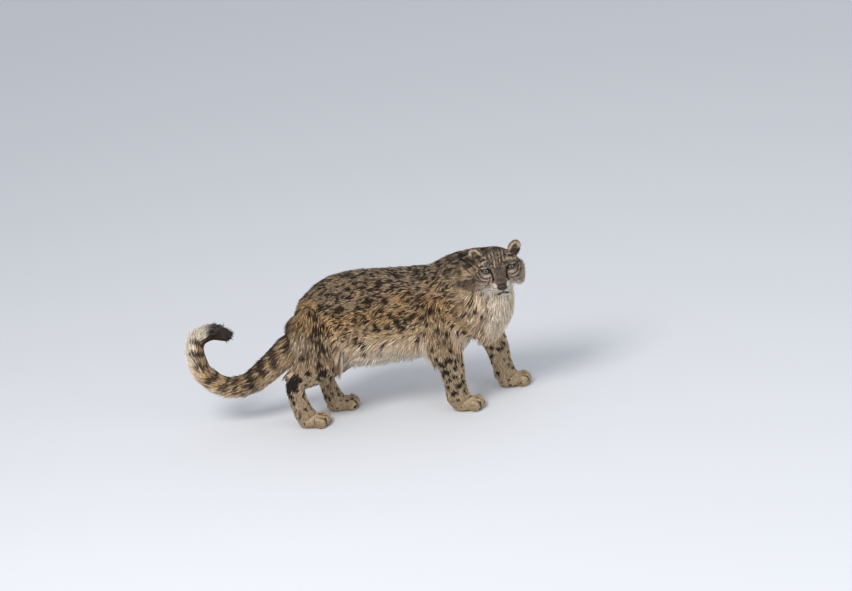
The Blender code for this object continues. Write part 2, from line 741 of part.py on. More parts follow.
def lock(root, out, lie, size, hang):
    """One flat tapered lock: low ridged sections from a sunk root over a bend to a point."""
    length, width, thick = size
    side = out.cross(lie).normalized()
    lift = length * LOCK_LIFT
    drop = Vector((0, 0, -length * hang))
    sunk = root - out * LOCK_SINK - lie * length * LOCK_BACK
    stations = [(sunk, *LOCK_ROOT_SHARES)]
    for along, raised, dropped, wide, deep in LOCK_STATIONS:
        stations.append((root + out * lift * raised + lie * length * along + drop * dropped, wide, deep))
    tip = root + out * lift * LOCK_TIP_LIFT + lie * length + drop
    mesh_tool = bmesh.new()
    rings = []
    for centre, wide, deep in stations:
        rings.append([mesh_tool.verts.new(centre + offset) for offset in (
            side * width * wide / 2, out * thick * deep, -side * width * wide / 2)])
    end = mesh_tool.verts.new(tip)
    for k in range(3):
        after = (k + 1) % 3
        for low, high in zip(rings, rings[1:]):
            mesh_tool.faces.new((low[k], low[after], high[after], high[k]))
        mesh_tool.faces.new((rings[-1][k], rings[-1][after], end))
    mesh_tool.faces.new(rings[0][::-1])
    bmesh.ops.triangulate(mesh_tool, faces=mesh_tool.faces)
    bmesh.ops.recalc_face_normals(mesh_tool, faces=mesh_tool.faces)
    return link("lock", mesh_tool)


def crosses(thing, trees):
    """Whether a piece comes within the gap of any of the trees."""
    wide = grown(thing, LOCK_CLEAR)
    tree = tree_of(wide)
    remove(wide)
    return any(tree.overlap(other) for other in trees)


class Coat:
    """The locks of every node, each kept clear of all other nodes and of their locks."""

    def __init__(self, nodes):
        """Starts with no locks on any node."""
        self.nodes = nodes
        self.trees = {name: tree_of(thing) for name, thing in nodes.items()}
        self.locks = {name: [] for name in nodes}
        self.chance = random.Random(SEED)

    def jitter(self, spread):
        """A seeded number between minus and plus the spread."""
        return self.chance.uniform(-spread, spread)

    def place(self, name, root, out, lie, size, hang):
        """Adds a lock to a node, shortened until it clears the others, or not at all."""
        others = [tree for other, tree in self.trees.items() if other != name]
        for other, grownup in self.locks.items():
            if other != name:
                others += [tree for thing, tree in grownup]
        scale = 1 + self.jitter(LOCK_UNEVEN)
        for attempt in range(LOCK_TRIES):
            length = size[0] * scale * LOCK_SHORTER ** attempt
            piece = lock(root, out, lie, (length, size[1] * scale, size[2]), hang)
            lowest = min(v.co.z for v in piece.data.vertices)
            if lowest > LOCK_FLOOR and not crosses(piece, others):
                self.locks[name].append((piece, tree_of(piece)))
                return
            remove(piece)

    def cast(self, names, start, way, lie, size, hang):
        """Adds a lock where a ray first meets one of the named nodes."""
        best = None
        for name, tree in self.trees.items():
            hit = tree.ray_cast(start, way)
            if hit[0] is not None and (best is None or hit[3] < best[1][3]):
                best = (name, hit)
        if best is None or best[0] not in names:
            return
        name, (point, out, face, distance) = best
        near = min(tree.find_nearest(point)[3] for other, tree in self.trees.items() if other != name)
        if near < LOCK_EDGE:
            return
        run = lie - lie.dot(out) * out * LOCK_FLAT
        self.place(name, point, out, run.normalized(), size, hang)

    def fuse(self):
        """One Boolean union for each node that carries locks."""
        for name, grownup in self.locks.items():
            if not grownup:
                continue
            pile = bpy.data.collections.new("locks of " + name)
            bpy.context.scene.collection.children.link(pile)
            for thing, tree in grownup:
                pile.objects.link(thing)
                bpy.context.scene.collection.objects.unlink(thing)
            change = self.nodes[name].modifiers.new("Coat", "BOOLEAN")
            change.operation = "UNION"
            change.solver = "EXACT"
            change.operand_type = "COLLECTION"
            change.collection = pile
            apply_modifiers(self.nodes[name])
            remove(*[thing for thing, tree in grownup])
            bpy.data.collections.remove(pile)
            keep_largest(self.nodes[name])


def steps(row):
    """The places that a first place, a step and a number give."""
    first, step, count = row
    return [first + step * k for k in range(count)]


def dress_belly(coat):
    """Locks under the belly and along its edges."""
    for i, middle_x in enumerate(steps(BELLY_X)):
        for middle_y in steps(BELLY_Y):
            x = middle_x + coat.jitter(1.5 * UNEVEN)
            y = middle_y + coat.jitter(UNEVEN) + BELLY_STAGGER * (i % 2)
            lie = Vector((BELLY_LIE[0], y * BELLY_LIE[1], BELLY_LIE[2]))
            coat.cast(("torso",), Vector((x, y, BELLY_START_Z)), UP, lie, BELLY_LOCK, BELLY_HANG)
    for side, name in SIDES:
        for i, middle_x in enumerate(steps(FLANK_X)):
            x = middle_x + coat.jitter(1.25 * UNEVEN)
            start = Vector((x, side * RAY_START, steps(FLANK_Z)[i % 2] + coat.jitter(UNEVEN)))
            lie = Vector((FLANK_LIE[0], side * FLANK_LIE[1], FLANK_LIE[2]))
            coat.cast(("torso",), start, -side * SIDEWAYS, lie, BELLY_LOCK, FLANK_HANG)


def dress_bib(coat):
    """Locks down the front of the throat and chest."""
    for i, middle_z in enumerate(steps(BIB_Z)):
        for middle_y in steps(BIB_Y):
            z = middle_z + coat.jitter(UNEVEN)
            y = middle_y + coat.jitter(UNEVEN) + BIB_STAGGER * (i % 2)
            size = BIB_LOCK if z < BIB_TOP else RUFF_LOCK
            start, lie = Vector((BIB_START_X, y, z)), Vector((BIB_FORWARD, y, -1))
            coat.cast(("torso", "neck"), start, -FORE_AFT, lie, size, BIB_HANG)


def dress_side(coat, side):
    """Locks on one side of the chest, the back of one thigh and one cheek."""
    for z in steps(CHEST_Z):
        for x in steps(CHEST_X):
            start = Vector((x + coat.jitter(UNEVEN), side * RAY_START, z))
            coat.cast(("torso", "neck"), start, -side * SIDEWAYS, Vector(CHEST_LIE), BIB_LOCK, BIB_HANG)
    for middle_z in steps(THIGH_Z):
        for middle_y in steps(THIGH_Y):
            z = middle_z + coat.jitter(UNEVEN)
            y = side * middle_y + coat.jitter(0.75 * UNEVEN)
            start = Vector((THIGH_START_X, y, z))
            coat.cast(THIGHS, start, FORE_AFT, Vector(THIGH_LIE), FRINGE_LOCK, THIGH_HANG)
    place = head_matrix()
    turn = place.to_3x3()
    way = turn @ Vector((RUFF_WAY[0], side * RUFF_WAY[1], RUFF_WAY[2]))
    lie = turn @ Vector((RUFF_LIE[0], side * RUFF_LIE[1], RUFF_LIE[2]))
    for z in steps(RUFF_Z):
        for j, x in enumerate(steps(RUFF_X)):
            rise = z + RUFF_STAGGER * (j % 2)
            start = place @ Vector((x + coat.jitter(0.5 * UNEVEN), side * RUFF_START_Y, rise))
            coat.cast(("head",), start, way.normalized(), lie, RUFF_LOCK, RUFF_HANG)


def dress_tail(coat):
    """Rings of locks round the tail, all towards its tip."""
    for i, (low, high) in enumerate(zip(TAIL_CUTS, TAIL_CUTS[1:])):
        for ring in range(TAIL_LOCK_RINGS):
            part = TAIL_LOCK_SPAN[0] + TAIL_LOCK_SPAN[1] * ring / (TAIL_LOCK_RINGS - 1)
            share = low + (high - low) * part
            for k in range(TAIL_LOCKS_ROUND):
                turn = 2 * math.pi * (k + 0.5 * (ring % 2)) / TAIL_LOCKS_ROUND + coat.jitter(TAIL_LOCK_TWIST)
                centre, run, first, second = tail_frame(min(share + coat.jitter(UNEVEN), TAIL_LOCK_END))
                reach = first * math.cos(turn) + second * math.sin(turn)
                length = TAIL_LOCK_LENGTH * TAIL_LOCK[0] + reach.length
                coat.place(f"tail_{i + 1}", centre + reach * TAIL_LOCK_SINK, reach.normalized(), run,
                           (length, *TAIL_LOCK[1:]), 0.0)


def dress(nodes):
    """The long coat: belly fringe, bib, cheeks, backs of the thighs and the tail."""
    coat = Coat(nodes)
    dress_belly(coat)
    dress_bib(coat)
    for side, name in SIDES:
        dress_side(coat, side)
    dress_tail(coat)
    coat.fuse()


def colour_of(name):
    """The plain colour and roughness of a node."""
    if name.startswith("eye"):
        return EYE_COLOUR, WET
    if name == "nose":
        return NOSE_COLOUR, DAMP
    if name == "tail_6":
        return COAT_DARK, ROUGH
    if name.startswith("ear") or name == "head":
        return COAT_GREY, ROUGH
    if name.startswith("paw"):
        return COAT_CREAM, ROUGH
    return COAT_GOLD, ROUGH


def main():
    """Builds every node, named and centred, with its own finish."""
    clear_scene()
    nodes = {}
    make_body(nodes)
    make_head(nodes)
    make_tail(nodes)
    dress(nodes)
    for name, thing in nodes.items():
        thing.name = name
        thing.data.name = name
        thing.data.transform(Matrix.Translation((-MIDDLE_X, -MIDDLE_Y, 0)))
        thing.data.materials.clear()
        thing.data.materials.append(finish(name, *colour_of(name)))


main()
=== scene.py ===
# %% [markdown]
# # A snow leopard, life size, side-on, with its head turned to the viewer
# This script builds how the animal looks, around the solid model.
# Lengths are in metres. The animal's own origin lies on the floor, between shoulders and hips, and
# each finished piece is shifted from there into the frame, whose origin is the middle of the box.

# %%
import math

import bpy
import bmesh
import numpy as np
from mathutils import Matrix, Vector


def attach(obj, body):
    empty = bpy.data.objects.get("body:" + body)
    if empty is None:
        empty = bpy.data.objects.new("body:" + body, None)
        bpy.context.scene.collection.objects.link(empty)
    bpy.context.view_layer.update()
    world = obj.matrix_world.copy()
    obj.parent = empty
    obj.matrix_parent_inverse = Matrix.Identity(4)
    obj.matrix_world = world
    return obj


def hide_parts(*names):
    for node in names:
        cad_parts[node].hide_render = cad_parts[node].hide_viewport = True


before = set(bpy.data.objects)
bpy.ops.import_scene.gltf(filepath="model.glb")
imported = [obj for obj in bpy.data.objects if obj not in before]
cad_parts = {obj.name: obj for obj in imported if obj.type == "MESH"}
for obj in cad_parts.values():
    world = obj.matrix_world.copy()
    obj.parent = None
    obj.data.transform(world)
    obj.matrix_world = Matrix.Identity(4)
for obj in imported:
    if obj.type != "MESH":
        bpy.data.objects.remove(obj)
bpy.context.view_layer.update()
MIDDLE = Vector((-0.1675, -0.0154, 0.0))  # the frame's origin, seen from the animal's own
UP = Vector((0, 0, 1))
FORE_AFT = Vector((1, 0, 0))
SIDEWAYS = Vector((0, 1, 0))
chance = np.random.default_rng(11)
print("frame with", len(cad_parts), "nodes")

# %% [markdown]
# ## Camera, floor and light
# The photo was taken from the animal's right and a little in front, from above, with a long lens and
# the camera tilted, so that the level animal climbs to the right. The camera's place was found by
# laying the back, the feet and the tail over the photo.
# The floor is a plain pale sheet, and the light is one broad soft lamp with a weaker one opposite,
# because the photo's light is an overcast sky over snow.

# %%
AIM = Vector((0.3095, 0.0154, 0.478))
CAMERA_AWAY = 14.49
CAMERA_TURN = math.radians(12)
CAMERA_RISE = math.radians(20)
CAMERA_ROLL = math.radians(-11)
LENS_MM = 150
SENSOR_MM = 36
FARTHEST_SEEN = 200
FLOOR_SIZE = 60

back = Vector((math.sin(CAMERA_TURN) * math.cos(CAMERA_RISE),
               -math.cos(CAMERA_TURN) * math.cos(CAMERA_RISE), math.sin(CAMERA_RISE)))
lens = bpy.data.cameras.new("camera")
lens.lens = LENS_MM
lens.sensor_width = SENSOR_MM
lens.clip_end = FARTHEST_SEEN
camera = bpy.data.objects.new("camera", lens)
bpy.context.scene.collection.objects.link(camera)
camera.matrix_world = (Matrix.Translation(AIM + back * CAMERA_AWAY)
                       @ (-back).to_track_quat("-Z", "Y").to_matrix().to_4x4()
                       @ Matrix.Rotation(CAMERA_ROLL, 4, "Z"))
bpy.context.scene.camera = camera


def plain(name, colour, roughness):
    """A finish of one colour, for others to build on."""
    made = bpy.data.materials.new(name)
    made.use_nodes = True
    shader = made.node_tree.nodes["Principled BSDF"]
    shader.inputs["Base Color"].default_value = (*colour, 1)
    shader.inputs["Roughness"].default_value = roughness
    return made


def lamp(name, place, size, power, colour):
    """A round soft lamp that looks at the animal. Its size is in metres and its power in watts."""
    light = bpy.data.lights.new(name, "AREA")
    light.shape = "DISK"
    light.size = size
    light.energy = power
    light.color = colour
    made = bpy.data.objects.new(name, light)
    made.location = place
    made.rotation_euler = (AIM - Vector(place)).to_track_quat("-Z", "Y").to_euler()
    bpy.context.scene.collection.objects.link(made)


bpy.ops.mesh.primitive_plane_add(size=FLOOR_SIZE, location=(0, 10, 0))
floor = bpy.context.object
floor.name = "floor"
floor.data.materials.append(plain("floor", (0.74, 0.75, 0.78), 0.9))
lamp("key", (-1.5, -4.0, 5.5), 3.0, 270, (1.0, 0.98, 0.95))
lamp("fill", (4.5, -3.5, 2.5), 4.0, 60, (0.93, 0.96, 1.0))
world = bpy.data.worlds.new("room")
world.use_nodes = True
world.node_tree.nodes["Background"].inputs["Color"].default_value = (0.86, 0.90, 0.96, 1)
world.node_tree.nodes["Background"].inputs["Strength"].default_value = 0.66
bpy.context.scene.world = world
bpy.context.scene.view_settings.view_transform = "Standard"
print("camera, floor and light")

# %% [markdown]
# ## Tools for forms
# A body can be built from tubes through rows of sections, for trunk, neck, limbs and tail, and from
# ellipsoids, for the head, toes and ears. The solids are made the same way, so both can share measures.

# %%
RING_SIDES = 32
ROUND_END = ((0.45, 0.89), (0.8, 0.6))  # of the end's half size: how far out, and how large the ring is


def link(name, mesh_tool):
    """An object in the scene, made from a mesh under work."""
    mesh = bpy.data.meshes.new(name)
    mesh_tool.to_mesh(mesh)
    mesh_tool.free()
    made = bpy.data.objects.new(name, mesh)
    bpy.context.scene.collection.objects.link(made)
    return made


def apply_modifiers(thing):
    """Turns what the object's modifiers show into its own mesh."""
    graph = bpy.context.evaluated_depsgraph_get()
    old = thing.data
    thing.data = bpy.data.meshes.new_from_object(thing.evaluated_get(graph))
    thing.modifiers.clear()
    bpy.data.meshes.remove(old)


def curve_through(rows, steps):
    """Rows of numbers on a smooth curve through the given rows, with steps between each two."""
    rows = [Vector(row) for row in rows]
    ends = [2 * rows[0] - rows[1], *rows, 2 * rows[-1] - rows[-2]]
    found = []
    for i in range(1, len(ends) - 2):
        a, b, c, d = ends[i - 1:i + 3]
        for k in range(steps):
            t = k / steps
            found.append(0.5 * (
                2 * b + (c - a) * t + (2 * a - 5 * b + 4 * c - d) * t ** 2
                + (3 * b - a - 3 * c + d) * t ** 3))
    found.append(rows[-1])
    return found


def frames_along(rows, towards):
    """The centre, run, first half axis and second half axis of each ring on a row of sections."""
    centres = [Vector(row[:3]) for row in rows]
    found = []
    for i, row in enumerate(rows):
        before, after = centres[max(i - 1, 0)], centres[min(i + 1, len(rows) - 1)]
        run = (after - before).normalized()
        first = (towards - towards.dot(run) * run).normalized()
        found.append((centres[i], run, first * row[3], run.cross(first) * row[4]))
    return found


def skin_of(frames, sides):
    """A closed tube through frames of (centre, run, first half axis, second half axis)."""
    mesh_tool = bmesh.new()
    turns = [2 * math.pi * k / sides for k in range(sides)]
    rings = [[mesh_tool.verts.new(centre + first * math.cos(a) + second * math.sin(a)) for a in turns]
             for centre, run, first, second in frames]
    for low, high in zip(rings, rings[1:]):
        for k in range(sides):
            after = (k + 1) % sides
            mesh_tool.faces.new((low[k], low[after], high[after], high[k]))
    mesh_tool.faces.new(rings[0][::-1])
    mesh_tool.faces.new(rings[-1])
    bmesh.ops.recalc_face_normals(mesh_tool, faces=mesh_tool.faces)
    return link("tube", mesh_tool)


def loft(rows, towards, steps=4):
    """A closed tube with rounded ends through rows of (x, y, z, half size along towards, half across)."""
    frames = frames_along(curve_through(rows, steps), towards)
    for end, sign in ((0, -1), (-1, 1)):
        centre, run, first, second = frames[end]
        reach = (first.length + second.length) / 2
        caps = [(centre + run * sign * reach * out, run, first * size, second * size)
                for out, size in ROUND_END]
        frames = caps[::-1] + frames if end == 0 else frames + caps
    return skin_of(frames, RING_SIDES)


print("tools for tubes")

# %% [markdown]
# Ellipsoids stand for what is round, a cutter hollows a form, and many forms are joined into one piece.
# A finished piece is put into the frame, and the nodes of the solids it stands for are hidden.

# %%
def ellipsoid(centre, radii, turn=None):
    """A ball drawn out to three radii, turned about its middle if a turn is given."""
    mesh_tool = bmesh.new()
    bmesh.ops.create_uvsphere(mesh_tool, u_segments=RING_SIDES, v_segments=20, radius=1)
    place = Matrix.Translation(centre) @ (turn or Matrix.Identity(4)) @ Matrix.Diagonal((*radii, 1))
    bmesh.ops.transform(mesh_tool, matrix=place, verts=mesh_tool.verts)
    return link("ellipsoid", mesh_tool)


def cut(thing, cutter):
    """Takes the cutter's shape out of the thing and removes the cutter."""
    change = thing.modifiers.new("Cut", "BOOLEAN")
    change.operation = "DIFFERENCE"
    change.solver = "EXACT"
    change.object = cutter
    apply_modifiers(thing)
    bpy.data.objects.remove(cutter, do_unlink=True)


def joined(name, things):
    """One object from many, which it replaces."""
    mesh_tool = bmesh.new()
    for thing in things:
        mesh_tool.from_mesh(thing.data)
        bpy.data.objects.remove(thing, do_unlink=True)
    return link(name, mesh_tool)


def put(piece, slot, *nodes):
    """Shifts a finished piece into the frame, hangs it on the root and hides the nodes of the solids it
    stands for.
    """
    piece.data.transform(Matrix.Translation(-MIDDLE))
    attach(piece, "root")
    if nodes:
        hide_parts(*nodes)


print("tools for round forms and for placing")

# %% [markdown]
# ## The animal's rows and masses
# These are the measures of the solids: rows of (x, y, z, half size, half size across) for the trunk,
# neck and legs, from which the legs' stride and the hanging belly come.

# %%
FORE_X = 0.205
HIND_X = -0.33
TORSO = ((-0.372, 0, 0.405, 0.075, 0.075), (-0.330, 0, 0.424, 0.120, 0.108),
         (-0.255, 0, 0.438, 0.160, 0.132), (-0.160, 0, 0.444, 0.176, 0.137),
         (-0.040, 0, 0.436, 0.178, 0.144), (0.080, 0, 0.430, 0.176, 0.148),
         (0.180, 0, 0.432, 0.172, 0.146), (0.270, 0, 0.436, 0.162, 0.136),
         (0.345, 0, 0.428, 0.132, 0.122), (0.392, 0, 0.420, 0.100, 0.100))
NECK = ((0.200, 0, 0.492, 0.112, 0.112), (0.290, 0, 0.526, 0.114, 0.106),
        (0.370, -0.004, 0.550, 0.104, 0.100), (0.440, -0.022, 0.572, 0.088, 0.090),
        (0.470, -0.060, 0.585, 0.078, 0.082))
THROAT = ((0.436, -0.044, 0.545, 0.052, 0.076), (0.434, -0.014, 0.480, 0.062, 0.090),
          (0.408, 0, 0.405, 0.076, 0.100), (0.364, 0, 0.345, 0.080, 0.096))
BELLY = ((-0.250, 0, 0.342, 0.082, 0.088), (-0.140, 0, 0.330, 0.090, 0.098),
         (0.000, 0, 0.332, 0.088, 0.102), (0.130, 0, 0.336, 0.088, 0.102),
         (0.250, 0, 0.348, 0.088, 0.096))
FORE_RIGHT = ((FORE_X - 0.005, -0.095, 0.470, 0.095, 0.060), (FORE_X - 0.015, -0.108, 0.370, 0.086, 0.058),
              (FORE_X - 0.008, -0.106, 0.275, 0.068, 0.050), (FORE_X + 0.006, -0.100, 0.190, 0.055, 0.046),
              (FORE_X + 0.006, -0.094, 0.110, 0.047, 0.042), (FORE_X + 0.010, -0.092, 0.055, 0.050, 0.046))
FORE_LEFT = ((FORE_X + 0.040, 0.095, 0.470, 0.092, 0.060), (FORE_X + 0.085, 0.108, 0.370, 0.084, 0.056),
             (FORE_X + 0.138, 0.112, 0.270, 0.064, 0.049), (FORE_X + 0.164, 0.112, 0.185, 0.052, 0.044),
             (FORE_X + 0.173, 0.112, 0.110, 0.045, 0.041), (FORE_X + 0.180, 0.112, 0.055, 0.047, 0.045))
HIND_RIGHT = ((HIND_X + 0.028, -0.086, 0.470, 0.098, 0.060), (HIND_X + 0.014, -0.104, 0.385, 0.108, 0.060),
              (HIND_X, -0.106, 0.305, 0.098, 0.056), (HIND_X - 0.052, -0.098, 0.244, 0.074, 0.047),
              (HIND_X - 0.116, -0.090, 0.194, 0.046, 0.036), (HIND_X - 0.122, -0.088, 0.122, 0.040, 0.035),
              (HIND_X - 0.106, -0.088, 0.055, 0.044, 0.042))
HIND_LEFT = ((HIND_X + 0.045, 0.086, 0.470, 0.105, 0.060), (HIND_X + 0.066, 0.104, 0.380, 0.115, 0.060),
             (HIND_X + 0.078, 0.102, 0.300, 0.102, 0.056), (HIND_X + 0.046, 0.088, 0.225, 0.070, 0.046),
             (HIND_X - 0.024, 0.074, 0.165, 0.044, 0.035), (HIND_X - 0.022, 0.066, 0.110, 0.038, 0.034),
             (HIND_X - 0.008, 0.062, 0.055, 0.042, 0.040))
LEGS = {"fore_right": FORE_RIGHT, "fore_left": FORE_LEFT, "hind_right": HIND_RIGHT, "hind_left": HIND_LEFT}
PAW_LENGTH = 0.125
PAW_WIDTH = 0.098
PAW_HEIGHT = 0.062
PAW_TURN = math.radians(6)
TOE_SPREAD = 0.36
print("rows of the trunk and", len(LEGS), "legs")

# %% [markdown]
# The tail is one round tube that sweeps down and curls up at the end. The head is a set of ellipsoids
# (centre, radii) and two short tubes in a frame of its own, +X to the nose and +Y to its left, so that
# it could be turned to the viewer as one. The eyes, ears and mouth have their places in that frame.

# %%
TAIL = ((-0.360, 0.000, 0.418, 0.068), (-0.440, 0.000, 0.342, 0.065), (-0.540, 0.002, 0.262, 0.060),
        (-0.645, 0.004, 0.196, 0.053), (-0.740, 0.002, 0.182, 0.048), (-0.822, -0.004, 0.230, 0.047),
        (-0.858, -0.010, 0.312, 0.045), (-0.846, -0.014, 0.392, 0.044), (-0.790, -0.018, 0.428, 0.039),
        (-0.742, -0.020, 0.423, 0.034))
TAIL_CORE = 0.70
HEAD_CENTRE = Vector((0.470, -0.070, 0.594))
HEAD_YAW = math.radians(-78)
HEAD = Matrix.Translation(HEAD_CENTRE) @ Matrix.Rotation(HEAD_YAW, 4, "Z")
MIDLINE_MASSES = (
    ((-0.015, 0, 0.006), (0.088, 0.082, 0.056)),  # skull
    ((0.032, 0, 0.018), (0.040, 0.054, 0.042)),  # forehead
    ((0.082, 0, -0.087), (0.029, 0.029, 0.014)),  # chin
    ((0.032, 0, -0.068), (0.064, 0.050, 0.028)),  # lower jaw
)
PAIRED_MASSES = (
    ((0.040, 0.046, 0.030), (0.033, 0.036, 0.023)),  # brow
    ((0.040, 0.050, -0.017), (0.036, 0.037, 0.030)),  # cheekbone
    ((0.012, 0.056, -0.036), (0.052, 0.040, 0.044)),  # cheek
    ((-0.020, 0.060, -0.036), (0.046, 0.042, 0.050)),  # ruff
    ((0.092, 0.022, -0.064), (0.031, 0.025, 0.021)),  # whisker pad
)
MUZZLE = ((0.020, 0, -0.022, 0.048, 0.050), (0.064, 0, -0.038, 0.038, 0.042),
          (0.094, 0, -0.052, 0.028, 0.034), (0.107, 0, -0.056, 0.018, 0.026))
BRIDGE = ((0.034, 0, 0.016, 0.026, 0.028), (0.066, 0, 0.000, 0.023, 0.025),
          (0.094, 0, -0.024, 0.019, 0.022), (0.110, 0, -0.041, 0.012, 0.018))
NOSE_TIP = Vector((0.118, 0, -0.050))
EYE_AT = Vector((0.053, 0.049, 0.010))
EYE_RADIUS = 0.0165
EYE_OUTWARD = math.radians(12)
EYE_SLANT = math.radians(9)
LID_HALF_WIDTH = 0.0142
LID_HALF_HEIGHT = 0.0080
LID_POINT = 0.42
EAR_AT = Vector((-0.020, 0.078, 0.052))
EAR_RADII = (0.019, 0.027, 0.036)
EAR_HOLLOW = (0.017, 0.021, 0.030)
EAR_HOLLOW_OFF = Vector((0.014, 0, -0.002))
EAR_LEAN = math.radians(32)
EAR_TURN = math.radians(20)
NECK_CUT_AT = Vector((0.412, -0.048, 0.575))
NECK_CUT_RUN = Vector((0.166, -0.786, 0.60)).normalized()
MOUTH = ((0.050, 0.049, -0.078), (0.076, 0.042, -0.084), (0.100, 0.028, -0.084), (0.116, 0.010, -0.079),
         (0.119, 0.0, -0.074))
print("tail,", len(MIDLINE_MASSES) + 2 * len(PAIRED_MASSES), "masses of the head")

# %% [markdown]
# ## The skin
# The living skin is one closed surface under the coat. It could be made from joined tubes, but those
# leave seams at the neck and legs, so all the forms are melted together on a fine grid instead.
# The ears are hollowed first, because they are thin cups.

# %%
SKIN_VOXEL = 0.0030


def ear_turn(side):
    """How an ear is turned out and leans. The side is 1 for the left ear and -1 for the right one."""
    return Matrix.Rotation(side * EAR_TURN, 4, "Z") @ Matrix.Rotation(-side * EAR_LEAN, 4, "X")


def paw_forms(rows, side):
    """A palm and four toes in an arc at the foot of a leg's rows."""
    x, y = rows[-1][0], rows[-1][1]
    turn = Matrix.Rotation(side * PAW_TURN, 4, "Z")
    at = Vector((x + PAW_LENGTH * 0.20, y, PAW_HEIGHT * 0.40))
    found = [ellipsoid(at, (PAW_LENGTH * 0.50, PAW_WIDTH * 0.44, PAW_HEIGHT * 0.55), turn)]
    for k in range(4):
        spread = (k - 1.5) / 1.5
        reach = PAW_LENGTH * (0.45 - 0.10 * spread ** 2)
        offset = turn @ Vector((reach, PAW_WIDTH * TOE_SPREAD * spread, -PAW_HEIGHT * 0.04))
        toe_turn = Matrix.Rotation(math.radians(14 * spread), 4, "Z") @ turn
        toe_radii = (PAW_LENGTH * 0.20, PAW_WIDTH * 0.165, PAW_HEIGHT * 0.40)
        found.append(ellipsoid(at + offset, toe_radii, toe_turn))
    return found


def head_forms():
    """The head's masses, hollow ears, muzzle and bridge, turned into place."""
    found = [ellipsoid(centre, radii) for centre, radii in MIDLINE_MASSES]
    for side in (1, -1):
        found += [ellipsoid((x, side * y, z), radii) for (x, y, z), radii in PAIRED_MASSES]
        at = Vector((EAR_AT.x, side * EAR_AT.y, EAR_AT.z))
        ear = ellipsoid(at, EAR_RADII, ear_turn(side))
        cut(ear, ellipsoid(at + ear_turn(side) @ EAR_HOLLOW_OFF, EAR_HOLLOW, ear_turn(side)))
        found.append(ear)
    found += [loft(MUZZLE, UP), loft(BRIDGE, UP)]
    for piece in found:
        piece.data.transform(HEAD)
    return found


forms = [loft(TORSO, UP), loft(NECK, UP), loft(BELLY, UP), loft(THROAT, FORE_AFT)]
forms += [loft(rows, FORE_AFT) for rows in LEGS.values()]
TAIL_SKIN = [(x, y, z, half * TAIL_CORE, half * TAIL_CORE) for x, y, z, half in TAIL]
forms.append(loft(TAIL_SKIN, SIDEWAYS, 8))
for rows in LEGS.values():
    forms += paw_forms(rows, 1 if rows[0][1] > 0 else -1)
forms += head_forms()
skin = joined("skin", forms)
melt = skin.modifiers.new("Melt", "REMESH")
melt.mode = "VOXEL"
melt.voxel_size = SKIN_VOXEL
apply_modifiers(skin)
print("melted skin with", len(skin.data.polygons), "faces")

# %% [markdown]
# ### Where a point lies on the animal
# Hair has a lie: it runs back along the trunk, down the legs, out along the tail and, on the head, away
# from the nose. A point's nearness to the middle line of each part says which way that is, and soft
# steps between the parts keep lengths and colours from jumping. Painted maps could say the same, but
# formulas hold for the skin and for every tuft over it.

# %%
def smooth(low, high, value):
    """A soft step from 0 at low to 1 at high. Low may be the larger one, for a step down."""
    t = np.clip((value - low) / (high - low), 0, 1)
    return t * t * (3 - 2 * t)


def unit(rows):
    """Each row of numbers as a direction of length one."""
    return rows / np.maximum(np.linalg.norm(rows, axis=1, keepdims=True), 1e-9)


LINES = [("torso", TORSO, -1), ("neck", NECK, -1), ("belly", BELLY, -1), ("throat", THROAT, 1),
         *((name, rows, 1) for name, rows in LEGS.items()),
         ("tail", TAIL_SKIN, 1)]  # the last number says whether the hair runs along the rows or back
LINE_NAMES = [name for name, rows, way in LINES]
TOWARDS = {"torso": UP, "neck": UP, "belly": UP, "tail": SIDEWAYS}
line_at, line_run, line_size, line_kind, line_share = [], [], [], [], []
for kind, (name, rows, way) in enumerate(LINES):
    samples = frames_along(curve_through(rows, 6), TOWARDS.get(name, FORE_AFT))
    for k, (centre, run, first, second) in enumerate(samples):
        line_at.append(centre)
        line_run.append(run * way)
        line_size.append(math.sqrt(first.length * second.length))
        line_kind.append(kind)
        line_share.append(k / (len(samples) - 1))
line_at, line_run = np.array(line_at), np.array(line_run)
line_size, line_kind, line_share = np.array(line_size), np.array(line_kind), np.array(line_share)
head_in = np.array(HEAD.inverted())
head_turn = np.array(HEAD.to_3x3())
HEAD_REACH = (0.17, 0.14, 0.14)
print(len(line_at), "rings on", len(LINES), "lines")


# %% [markdown]
# Each part of the coat gets a soft number for every point, from its place on the lines, its height, the
# way the skin faces and its place on the head. Lengths, lies and colours are then mixed by them.

